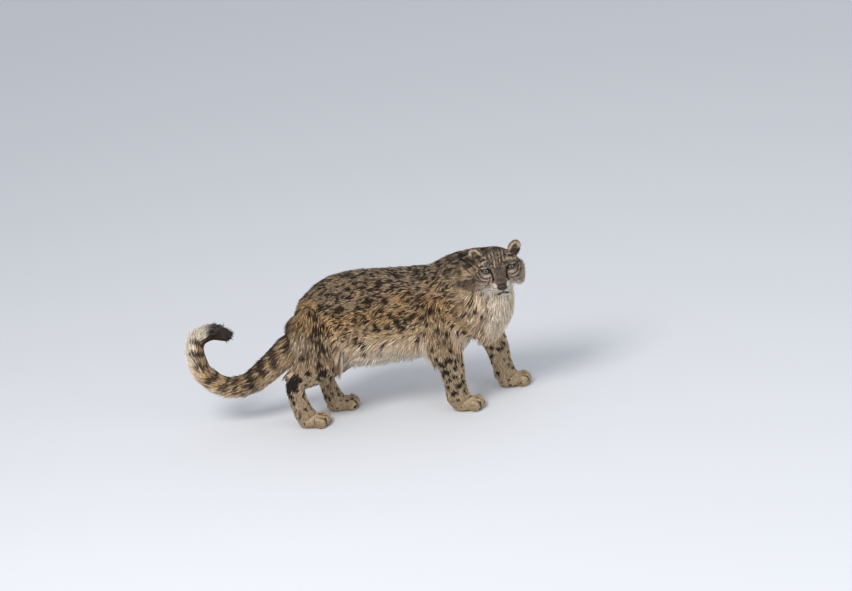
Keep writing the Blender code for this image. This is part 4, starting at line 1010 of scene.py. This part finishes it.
def coat_colour(where, luck=0.0):
    """The coat's colour at each point. Luck moves a single tuft to a darker or lighter hair."""
    points, normals = where.points, where.normals
    x, z = points[:, 0], points[:, 2]
    height = z + 0.02 * cloud(points, 9, 2, 3.0)
    fleck = 1.0 * cloud(points, 78, 2, 80.0) + 0.42 * luck
    patch = cloud(points, 13, 2, 44.0)
    colours = ground_colour(where, height, patch)
    # Pale tufts beside the tail's root and in front of the thigh.
    rump = np.exp(-((x + 0.368) ** 2 + (z - 0.385) ** 2) / 0.034 ** 2)
    stifle = where.limb * smooth(-0.28, -0.21, x) * smooth(0.0, -0.1, x) * smooth(0.37, 0.31, z)
    tufty = np.maximum(rump, stifle)
    colours = mix(colours, CREAM, tufty * 0.85)
    # Painted shade: a brown band in the crease in front of the thigh, where the thigh meets the flank.
    thigh_crease_shade = np.exp(-((x + 0.138 - 0.10 * (z - 0.42)) / 0.012) ** 2)
    thigh_crease_shade *= smooth(0.35, 0.39, z) * smooth(0.53, 0.48, z)
    colours = mix(colours, BROWN_MARK, thigh_crease_shade * 0.55 * (1 - where.tail))
    marks, dark = body_marks(where, height, patch, fleck, tufty)
    body = (1 - where.front) * (1 - where.tail)
    colours = mix(colours, dark, marks * body * 0.96)
    # Painted shade in the grooves between the toes.
    colours = mix(colours, MARK, toe_gap_shade(points) * 0.8)
    # The middle of the back and the nape are darkest.
    neck_top = smooth(0.20, 0.30, x) * 0.22
    ridge = smooth(0.72, 0.94, normals[:, 2] + neck_top) * smooth(0.52, 0.57, z) * body
    colours = mix(colours, BACK_DARK, ridge * smooth(-0.4, 0.2, fleck + neck_top) * 0.9)
    nape = smooth(0.30, 0.38, x) * smooth(0.59, 0.65, z) * (1 - where.front)
    colours = mix(colours, BACK_DARK, nape * smooth(-0.5, 0.3, fleck) * 0.9)
    colours = head_colour(where, tail_colour(where, colours, fleck), fleck)
    # Dark flecks run round the neck behind the cheeks.
    collar = smooth(0.27, 0.33, x) * smooth(0.50, 0.56, z) * (1 - where.ear)
    collar *= 1 - smooth(-0.2, 0.5, normals[:, 0])
    collar *= 1 - smooth(0.098, 0.084, np.abs(where.local[:, 1])) * smooth(-0.03, 0.0, where.local[:, 0])
    return mix(colours, MARK, collar * smooth(0.05, 0.32, cloud(points, 52, 2, 210.0)) * 0.85)


print("colours of the body")

# %% [markdown]
# Hair has a weak sheen and is nowhere one even colour, so its finish takes the colour worked out for each
# point and breaks it up once more with a fine grain.

# %%
HAIR_ROUGHNESS = 0.8
GRAIN_SCALE = 260
SKIN_PAINTED_SHADE = 0.8


def hair_finish(name):
    """A finish that takes the worked-out colours and breaks them up a little more."""
    made = plain(name, (0.5, 0.4, 0.3), HAIR_ROUGHNESS)
    nodes, links = made.node_tree.nodes, made.node_tree.links
    shader = nodes["Principled BSDF"]
    shader.inputs["Specular IOR Level"].default_value = 0.25
    colour = nodes.new("ShaderNodeVertexColor")
    colour.layer_name = "coat"
    grain = nodes.new("ShaderNodeTexNoise")
    grain.inputs["Scale"].default_value = GRAIN_SCALE
    grain.inputs["Detail"].default_value = 2
    spread = nodes.new("ShaderNodeMapRange")
    for socket, value in (("From Min", 0.3), ("From Max", 0.7), ("To Min", 0.78), ("To Max", 1.18)):
        spread.inputs[socket].default_value = value
    place = nodes.new("ShaderNodeTexCoord")
    change = nodes.new("ShaderNodeVectorMath")
    change.operation = "SCALE"
    links.new(place.outputs["Object"], grain.inputs["Vector"])
    links.new(grain.outputs["Fac"], spread.inputs["Value"])
    links.new(colour.outputs["Color"], change.inputs[0])
    links.new(spread.outputs["Result"], change.inputs["Scale"])
    links.new(change.outputs["Vector"], shader.inputs["Base Color"])
    return made


def colour_points(mesh, colours):
    """Gives each point of a mesh its colour, for the finish to read."""
    layer = mesh.color_attributes.new("coat", "FLOAT_COLOR", "POINT")
    full = np.ones((len(colours), 4))
    full[:, :3] = np.clip(colours, 0, 1)
    layer.data.foreach_set("color", full.ravel())
    mesh.color_attributes.render_color_index = 0


# Painted shade: the skin gets the coat's colours darkened, as if in the shade of the tufts over it.
colour_points(skin.data, coat_colour(where) * SKIN_PAINTED_SHADE)
skin.data.materials.clear()
skin.data.materials.append(hair_finish("skin"))
skin.data.shade_smooth()
print("markings on the skin")

# %% [markdown]
# ## The coat
# A snow leopard's coat is dense and soft, short on the face and paws and long on the belly and tail.
# It could be made of hair curves, but the model has to hold solid meshes, so it is made of tufts: thin
# closed blades with a low ridge that leave the skin at a slant, follow the lie and end in a point.
# They grow close together where the hair is short and wider apart where it is long.

# %%
def scatter(weights, count):
    """Root points on the skin, as often as the weights of its triangles say."""
    chain = np.cumsum(weights)
    picks = np.searchsorted(chain, (np.arange(count) + chance.random(count)) * chain[-1] / count)
    picks = np.minimum(picks, len(weights) - 1)
    a, b = chance.random(count), chance.random(count)
    fold = a + b > 1
    a[fold], b[fold] = 1 - a[fold], 1 - b[fold]
    share = np.stack([1 - a - b, a, b], axis=1)[:, :, None]
    at = (points[corners][picks] * share).sum(1)
    out = unit((normals[corners][picks] * share).sum(1))
    return at, out, (unwrap[picks] * share).sum(1)


ROOT_SUNK = 0.0012
BLADE_THICKNESS = 0.28  # of its width
RINGS = {  # for blades of one, two or three rings: how far along each ring is, and how wide
    1: ((0.0, 1.0),),
    2: ((0.0, 0.75), (0.48, 1.0)),
    3: ((0.0, 0.7), (0.34, 1.0), (0.68, 0.72)),
}


def blades(roots, out, lie, length, width, lift, hang, rings):
    """Closed three-sided blades: points, triangles, each point's place along and across, points a blade."""
    thick = width * BLADE_THICKNESS
    side = unit(np.cross(out, lie))
    count = len(roots)
    down = np.array((0, 0, -1.0))
    rows, along, across = [], [], []
    for share, wide in RINGS[rings]:
        rise = lift * length * (1.6 * share - 0.6 * share ** 2)
        centre = (roots + lie * (length * share)[:, None]
                  + out * (rise - ROOT_SUNK * (share == 0))[:, None]
                  + down * (hang * length * share ** 1.8)[:, None])
        half = (width * wide / 2)[:, None]
        rows += [centre + side * half, centre + out * (thick * wide)[:, None], centre - side * half]
        along += [share] * 3
        across += [1.0, 0.0, -1.0]
    rows.append(roots + lie * length[:, None] + out * (lift * length)[:, None]
                + down * (hang * length)[:, None])
    along.append(1.0)
    across.append(0.0)
    each = len(rows)
    faces = [(2, 1, 0)]
    for ring in range(rings - 1):
        for k in range(3):
            a, b = 3 * ring + k, 3 * ring + (k + 1) % 3
            faces += [(a, b, b + 3), (a, b + 3, a + 3)]
    last = 3 * (rings - 1)
    faces += [(last + k, last + (k + 1) % 3, each - 1) for k in range(3)]
    vertices = np.stack(rows, axis=1).reshape(-1, 3)
    triangles = (np.array(faces)[None] + (np.arange(count) * each)[:, None, None]).reshape(-1, 3)
    return vertices, triangles, np.tile(along, count), np.tile(across, count), each


PATCH = 0.003
finishes = {}


def coat_piece(name, slot, vertices, triangles, colours, uv):
    """One piece of the coat, with its colours and unwrap, put in its place."""
    mesh = bpy.data.meshes.new(name)
    mesh.vertices.add(len(vertices))
    mesh.vertices.foreach_set("co", vertices.ravel())
    mesh.loops.add(len(triangles) * 3)
    mesh.loops.foreach_set("vertex_index", triangles.ravel())
    mesh.polygons.add(len(triangles))
    mesh.polygons.foreach_set("loop_start", np.arange(0, len(triangles) * 3, 3))
    mesh.update(calc_edges=True)
    mesh.validate()
    colour_points(mesh, colours)
    layer = mesh.uv_layers.new(name="OFBake")
    layer.data.foreach_set("uv", uv[triangles.ravel()].ravel())
    mesh.shade_smooth()
    made = bpy.data.objects.new(name, mesh)
    bpy.context.scene.collection.objects.link(made)
    if slot not in finishes:
        finishes[slot] = hair_finish(slot)
    mesh.materials.append(finishes[slot])
    put(made, slot)


first, second, third = (points[corners[:, k]] for k in range(3))
areas = np.linalg.norm(np.cross(second - first, third - first), axis=1) / 2
middle_where = Where(points[corners].mean(1), unit(normals[corners].mean(1)))
print("skin area", round(areas.sum(), 3), "square metres")

# %% [markdown]
# Grooming gives each tuft its direction, length, width, lift from the skin and hang. The long coat of
# belly, chest and thighs is pulled down by its weight, and clumps sway together, as combed fur does.
# No hair grows on the eyes, nose and lips.

# %%
def eye_clear(where):
    """Nought inside the eyes' openings and lids, where no hair grows."""
    clear = np.ones(len(where.points))
    for side in (1, -1):
        inward = np.array(eye_place(side).inverted())
        local = where.points @ inward[:3, :3].T + inward[:3, 3]
        apart = opening(local[:, 1], local[:, 2])
        clear *= np.where((local[:, 0] > -0.01) & (apart < 1.30), 0.0, 1.0)
    nose = np.linalg.norm((where.local - np.array(NOSE_TIP)) / (0.012, 0.0175, 0.011), axis=1)
    lips = distance_to_line(where.local, MOUTH_LINE)
    return clear * (nose > 1.0) * (lips > 0.0042)


def groom(where):
    """The tufts' directions and sizes at their roots."""
    count = len(where.points)
    out = where.normals
    gravity = np.zeros((count, 3))
    gravity[:, 2] = -1
    pull = where.blend(0.35, limb=0.8, belly=1.0, bib=1.6, fringe=1.3, ruff=0.8, leg=0.1, tail=0.0,
                       head=0.05, jowl=1.1)
    clump = np.stack([cloud(where.points, 34, 2, shift) for shift in (13.0, 47.0, 81.0)], axis=1)
    sway = where.blend(0.55, leg=0.4, belly=0.40, bib=0.40, head=0.12, tail=0.22, face=0.0)
    run = where.run + gravity * pull[:, None] + clump * sway[:, None] + chance.normal(0, 0.12, (count, 3))
    lie = unit(run - (run * out).sum(1, keepdims=True) * out)
    length = where.blend(0.032, limb=0.036, leg=0.023, head=0.015, face=0.0085, paw=0.011, belly=0.074,
                         bib=0.054, fringe=0.048)
    length = length * (1 - where.ruff) + 0.032 * where.ruff
    hx, hy, hz = where.local.T
    temple = where.head * (1 - where.ear) * smooth(0.066, 0.085, np.abs(hy))
    temple *= smooth(-0.075, -0.05, hz) * smooth(0.034, 0.022, hz)
    length = length * (1 - temple) + np.maximum(length, 0.024) * temple
    length = length * (1 - where.jowl) + np.maximum(length, 0.034) * where.jowl
    muzzle = where.head * smooth(0.060, 0.085, hx)
    length = length * (1 - muzzle) + 0.0065 * muzzle
    length = length * (1 - where.ear) + 0.010 * where.ear
    core = np.interp(where.share, [0, 1], [0.046, 0.026])
    length = length * (1 - where.tail) + (0.030 + 0.9 * core) * where.tail
    length *= chance.uniform(0.75, 1.25, count)
    width = where.blend(0.0050, leg=0.0038, paw=0.0026, head=0.0028, face=0.0019, belly=0.0066, bib=0.0062,
                        tail=0.0062)
    width = (width * (1 - muzzle) + 0.0015 * muzzle) * chance.uniform(0.8, 1.25, count)
    lift = where.blend(0.27, leg=0.26, paw=0.22, head=0.20, belly=0.17, bib=0.19, fringe=0.20, tail=0.19)
    root_lift = np.interp(where.share, [0, 0.25, 0.6], [0.26, 0.22, 0.19])
    lift = lift * (1 - where.tail) + root_lift * where.tail
    uneven = 1 - 0.7 * np.clip(where.tail + where.belly + where.fringe, 0, 1)
    lift *= 1 + (chance.uniform(-0.45, 0.35, count) + 0.45 * (chance.random(count) < 0.06)) * uneven
    hang = where.blend(0.0, belly=0.22, bib=0.06, fringe=0.05)
    return lie, length, width, lift, hang


print("tools for the coat")

# %% [markdown]
# Each part's coat grows in one go: an under layer of small short tufts that hides the skin, and longer
# ones over it. It is kept in pieces of fewer than 200,000 triangles.

# %%
PIECE_TRIANGLES = 190000
LOWEST_TIP = 0.001


def grow(name, slot, weights, count, rings, fine):
    """Scatters, grooms and colours the tufts of one part and makes its pieces."""
    roots, out, uv = scatter(weights, count)
    keep = eye_clear(Where(roots, out)) > 0
    roots, out, uv = roots[keep], out[keep], uv[keep]
    lie, length, width, lift, hang = groom(Where(roots, out))
    width, length = width * fine, length * (0.55 + 0.45 * fine)
    made = blades(roots, out, lie, length, width, lift, hang, rings)
    vertices, triangles, along, across, each = made
    seen = Where(roots + lie * (0.55 * length)[:, None], out)
    colours = coat_colour(seen, chance.normal(0, 1, len(roots)))
    colours *= chance.normal(1.0, 0.20, len(roots)).clip(0.45, 1.6)[:, None]
    # Painted shade and light: each tuft is darkened at its root, where shade falls between the tufts, and
    # brightened at its tip.
    root_shade_tip_light = 0.50 + 0.78 * along
    patch = np.stack([across * 0.45, along - 0.5], axis=1) * PATCH
    vertex_uv = np.repeat(uv, each, axis=0) + patch
    vertex_colour = np.repeat(colours, each, axis=0) * root_shade_tip_light[:, None]
    vertices[:, 2] = np.maximum(vertices[:, 2], LOWEST_TIP)
    faces_each = len(triangles) // len(roots)
    per_piece = PIECE_TRIANGLES // faces_each
    for k, start in enumerate(range(0, len(roots), per_piece)):
        stop = min(start + per_piece, len(roots))
        rows = slice(start * each, stop * each)
        part = triangles[start * faces_each:stop * faces_each] - start * each
        coat_piece(f"{name}_{k + 1}", slot, vertices[rows], part, vertex_colour[rows], vertex_uv[rows])
    print(name, len(roots), "tufts,", len(triangles), "triangles")
    return len(triangles)


on_leg = np.isin(middle_where.kind, [LINE_NAMES.index(name) for name in LEGS])
head_share = middle_where.head > 0.5
tail_share = (middle_where.tail > 0.5) & ~head_share
leg_share = on_leg & ~head_share & ~tail_share
rest = ~head_share & ~tail_share & ~leg_share
under_share = rest & ((middle_where.belly + middle_where.bib) > 0.5)
trunk = areas * (rest & ~under_share)
legs = areas * leg_share * (1 + 1.6 * middle_where.leg + 2 * middle_where.paw)
head = areas * head_share * (1 + 2.2 * smooth(0.0, 0.08, middle_where.local[:, 0]))
COATS = (  # name, slot, weight of each triangle of skin, tufts, rings of a blade, fineness
    ("coat_trunk_under", "coat_gold", trunk, 60000, 1, 0.72),
    ("coat_trunk", "coat_gold", trunk, 21000, 2, 0.85),
    ("coat_pale", "coat_pale", areas * under_share, 14500, 3, 0.85),
    ("coat_legs_under", "coat_gold", legs, 43000, 1, 0.72),
    ("coat_legs", "coat_gold", legs, 15000, 2, 0.85),
    ("coat_tail", "coat_gold", areas * tail_share, 13500, 3, 0.9),
    ("coat_head_under", "coat_grey", head, 30000, 1, 0.85),
    ("coat_head", "coat_grey", head, 17000, 2, 0.85),
)
print("coat of", sum(grow(*row) for row in COATS), "triangles")
put(skin, "coat_gold", "torso", "neck", "head", "ear_left", "ear_right",
    *[f"tail_{i}" for i in range(1, 7)],
    *[part + name for name in LEGS for part in ("leg_", "paw_", "shoulder_" if "fore" in name else "thigh_")])

# %% [markdown]
# ## Eyes and lids
# Each eye is a wet ball with a pale grey-green iris, dark at its edge, and a small round pupil.
# A glass eye has its iris painted behind a clear dome. Here one ball bulges at the iris and is coloured
# ring by ring on its points, under a clear wet layer, because that gives the same look with one
# closed solid. The lids are a fine dark rim that lies on the ball, an almond with drawn-out corners.

# %%
IRIS = paint(136, 133, 112)
IRIS_EDGE = paint(58, 56, 46)
IRIS_HALF = math.asin(0.0092 / EYE_RADIUS)
PUPIL_HALF = math.asin(0.0044 / EYE_RADIUS)
EYE_DARK = paint(24, 18, 15)
PUPIL = paint(6, 6, 6)
CORNEA_BULGE = 0.055
LID_RADIUS = 0.0016
LID_OUTSIDE = 1.04
LID_OVER_BALL = 0.0010


def make_eye(side, name):
    """An eyeball in its socket, coloured in rings round the way it looks."""
    mesh_tool = bmesh.new()
    bmesh.ops.create_uvsphere(mesh_tool, u_segments=64, v_segments=64, radius=EYE_RADIUS)
    mesh_tool.transform(Matrix.Rotation(math.radians(90), 4, "Y"))
    eye = link("eyeball_" + name, mesh_tool)
    local = mesh_points(eye.data)[0]
    turn = np.arccos(np.clip(local[:, 0] / EYE_RADIUS, -1, 1))
    around = np.arctan2(local[:, 1], local[:, 2])
    ray = 1 + 0.16 * np.sin(around * 23) + 0.10 * np.sin(around * 41 + 1)
    colours = np.tile(EYE_DARK, (len(local), 1))
    colours = mix(colours, IRIS_EDGE, smooth(IRIS_HALF * 1.08, IRIS_HALF * 0.98, turn))
    colours = mix(colours, IRIS, smooth(IRIS_HALF * 0.97, IRIS_HALF * 0.82, turn))
    colours = colours * np.where(turn < IRIS_HALF, ray, 1)[:, None]
    colours = mix(colours, PUPIL, smooth(PUPIL_HALF * 1.15, PUPIL_HALF * 0.9, turn))
    bulge = 1 + CORNEA_BULGE * smooth(IRIS_HALF * 1.15, 0.0, turn)
    eye.data.vertices.foreach_set("co", (local * bulge[:, None]).ravel())
    colour_points(eye.data, colours)
    finish = plain("eyeball_" + name, (0.3, 0.3, 0.2), 0.12)
    nodes, links = finish.node_tree.nodes, finish.node_tree.links
    colour = nodes.new("ShaderNodeVertexColor")
    colour.layer_name = "coat"
    shader = nodes["Principled BSDF"]
    links.new(colour.outputs["Color"], shader.inputs["Base Color"])
    shader.inputs["Coat Weight"].default_value = 0.5
    shader.inputs["Specular IOR Level"].default_value = 0.15
    shader.inputs["Coat Roughness"].default_value = 0.02
    eye.data.materials.append(finish)
    eye.data.transform(eye_place(side))
    eye.data.shade_smooth()
    put(eye, "eye", "eye_" + name)


def make_lids(side, name, steps=56, sides=8):
    """A closed rim round the eye's opening that lies just over the ball."""
    over = EYE_RADIUS + LID_OVER_BALL
    line = []
    for k in range(steps):
        a = 2 * math.pi * k / steps
        y = LID_HALF_WIDTH * LID_OUTSIDE * math.cos(a)
        z = LID_HALF_HEIGHT * LID_OUTSIDE * math.sin(a) * (1 - LID_POINT * math.cos(a) ** 2)
        line.append(Vector((math.sqrt(max(over ** 2 - y * y - z * z, 1e-6)), y, z)))
    frames = []
    for k, point in enumerate(line):
        run = (line[(k + 1) % steps] - line[k - 1]).normalized()
        first = point.normalized()
        thick = LID_RADIUS * (1.25 if point.z > 0 else 0.9)
        frames.append((point, first * thick, run.cross(first) * thick))
    mesh_tool = bmesh.new()
    rings = [[mesh_tool.verts.new(centre + first * math.cos(2 * math.pi * j / sides)
                                  + second * math.sin(2 * math.pi * j / sides)) for j in range(sides)]
             for centre, first, second in frames]
    for k in range(steps):
        low, high = rings[k], rings[(k + 1) % steps]
        for j in range(sides):
            after = (j + 1) % sides
            mesh_tool.faces.new((low[j], low[after], high[after], high[j]))
    bmesh.ops.recalc_face_normals(mesh_tool, faces=mesh_tool.faces)
    lids = link("lids_" + name, mesh_tool)
    lids.data.transform(eye_place(side))
    lids.data.shade_smooth()
    lids.data.materials.append(lid_finish)
    put(lids, "nose_skin")


lid_finish = plain("lids", paint(30, 24, 21), 0.5)
for side, name in ((1, "left"), (-1, "right")):
    make_eye(side, name)
    make_lids(side, name)
print("eyes and lids")

# %% [markdown]
# ## Nose
# The nose pad is a broad leathery wedge with two nostrils that open into slits at the sides. It could be
# carved with cutters, but pressing a ball's points in by soft steps gives rounder edges. Its grain is
# too fine for a mesh of this size and comes from fine bumps.

# %%
NOSE_RADII = (0.012, 0.0195, 0.0125)
NOSTRILS = (  # across, up, half width, half height, depth, and the soft edge's outer and inner side
    (0.0095, -0.0026, 0.0046, 0.0030, 0.0065, 1.15, 0.5),  # the round hole
    (0.0155, -0.0045, 0.0045, 0.0014, 0.0030, 1.2, 0.4),  # the slit at its side
)
NOSE_COLOUR = paint(58, 42, 40)
PORE_SCALE = 900
PORE_DEPTH = 0.0004


def make_nose():
    """The nose pad with its nostrils, groove and grained skin."""
    mesh_tool = bmesh.new()
    bmesh.ops.create_icosphere(mesh_tool, subdivisions=6, radius=1)
    nose = link("nose_pad", mesh_tool)
    x, y, z = mesh_points(nose.data)[0].T
    width = 1 - 0.52 * smooth(0.2, -0.9, z)
    place = np.stack([x, y * width, z], axis=1) * NOSE_RADII
    place[:, 0] += 0.0016 * smooth(-0.2, 0.8, z) - 0.0012 * np.exp(-(y / 0.10) ** 2) * (z < 0.5)
    for side in (1, -1):
        for across, up, half_width, half_height, depth, outer, inner in NOSTRILS:
            apart = np.hypot((place[:, 1] - side * across) / half_width, (place[:, 2] - up) / half_height)
            place[:, 0] -= np.where(x > 0, depth * smooth(outer, inner, apart), 0)
    nose.data.vertices.foreach_set("co", (place + np.array(NOSE_TIP)).ravel())
    nose.data.transform(HEAD)
    finish = plain("nose", NOSE_COLOUR, 0.42)
    nodes, links = finish.node_tree.nodes, finish.node_tree.links
    cells = nodes.new("ShaderNodeTexVoronoi")
    cells.inputs["Scale"].default_value = PORE_SCALE
    coords = nodes.new("ShaderNodeTexCoord")
    bump = nodes.new("ShaderNodeBump")
    bump.inputs["Distance"].default_value = PORE_DEPTH
    links.new(coords.outputs["Object"], cells.inputs["Vector"])
    links.new(cells.outputs["Distance"], bump.inputs["Height"])
    links.new(bump.outputs["Normal"], nodes["Principled BSDF"].inputs["Normal"])
    nose.data.materials.append(finish)
    nose.data.shade_smooth()
    put(nose, "nose_skin", "nose")


make_nose()
print("nose")

# %% [markdown]
# ## Lips
# The shut mouth shows as a thin dark line of lip that splits under the nose. It is a tapered tube laid
# on the skin along the groove, because a line of colour alone would look flat from the side.

# %%
LIP_RADIUS = 0.0024
SPLIT_RADIUS = 0.0013
CORNER_RADIUS = 0.0003


def thin_tubes(name, lines, sides, finish, slot):
    """Closed tapered tubes in one piece, each through (point, radius) pairs."""
    tubes = []
    for line in lines:
        rows = [(*point, radius, radius) for point, radius in line]
        level = abs((line[-1][0] - line[0][0]).normalized().z) < 0.8
        tubes.append(skin_of(frames_along(rows, UP if level else FORE_AFT), sides))
    made = joined(name, tubes)
    made.data.materials.append(finish)
    made.data.shade_smooth()
    put(made, slot)


def on_face(point):
    """A point of the head's frame moved on to the skin, and the way out of the skin there."""
    target = HEAD @ Vector(point)
    k = int(((points - np.array(target)) ** 2).sum(1).argmin())
    return Vector(points[k]), Vector(normals[k])


mouth = [on_face(p) for p in curve_through(MOUTH_LINE, 4)]
mouth = [(at + away * 0.0010, LIP_RADIUS) for at, away in mouth]
mouth[0] = (mouth[0][0], CORNER_RADIUS)
mouth[-1] = (mouth[-1][0], CORNER_RADIUS)
split = [on_face((0.121, 0, z)) for z in (-0.060, -0.066, -0.072)]
split = [(at + away * 0.0008, SPLIT_RADIUS) for at, away in split]
thin_tubes("lips", [mouth, split], 6, lid_finish, "nose_skin")
print("lips")

# %% [markdown]
# ## Whiskers
# Four rows of four whiskers stand out of each whisker pad, the rear ones longer, and three short hairs
# over each eye. They are long stiff hairs that taper and sag a little, so each is a thin solid tube.

# %%
WHISKER_ROWS = 4
WHISKERS_A_ROW = 4
WHISKER_RADIUS = 0.00042
WHISKER_TIP = 0.00008
WHISKER_STEPS = 5
BROW_HAIR = 0.028
SAG = Vector((0, 0, -0.012))

whiskers = []
for side in (1, -1):
    for row in range(WHISKER_ROWS):
        for k in range(WHISKERS_A_ROW):
            at, away = on_face((0.100 - 0.009 * k, side * (0.034 + 0.003 * k), -0.056 - 0.0065 * row))
            reach = 0.050 + 0.010 * k + chance.uniform(-0.006, 0.006)
            way = HEAD.to_3x3() @ Vector((0.05 - 0.10 * k, side * 1.0, -0.10 - 0.13 * row))
            way.normalize()
            line = []
            for step in range(WHISKER_STEPS + 1):
                t = step / WHISKER_STEPS
                point = at + way * reach * t + SAG * t ** 2 - away * 0.001 * (1 - t)
                line.append((point, WHISKER_RADIUS * (1 - t) + WHISKER_TIP))
            whiskers.append(line)
    for k in range(3):
        at, away = on_face((0.062, side * (0.036 + 0.006 * k), 0.030))
        way = (HEAD.to_3x3() @ Vector((0.5, side * 0.5, 0.8))).normalized()
        whiskers.append([(at + way * BROW_HAIR * t + away * 0.006 * t, 0.00030 * (1 - t) + 0.00006)
                         for t in (0.0, 0.35, 0.7, 1.0)])
thin_tubes("whiskers", whiskers, 4, plain("whiskers", paint(240, 236, 230), 0.4), "coat_pale")
print(len(whiskers), "whiskers and brow hairs")
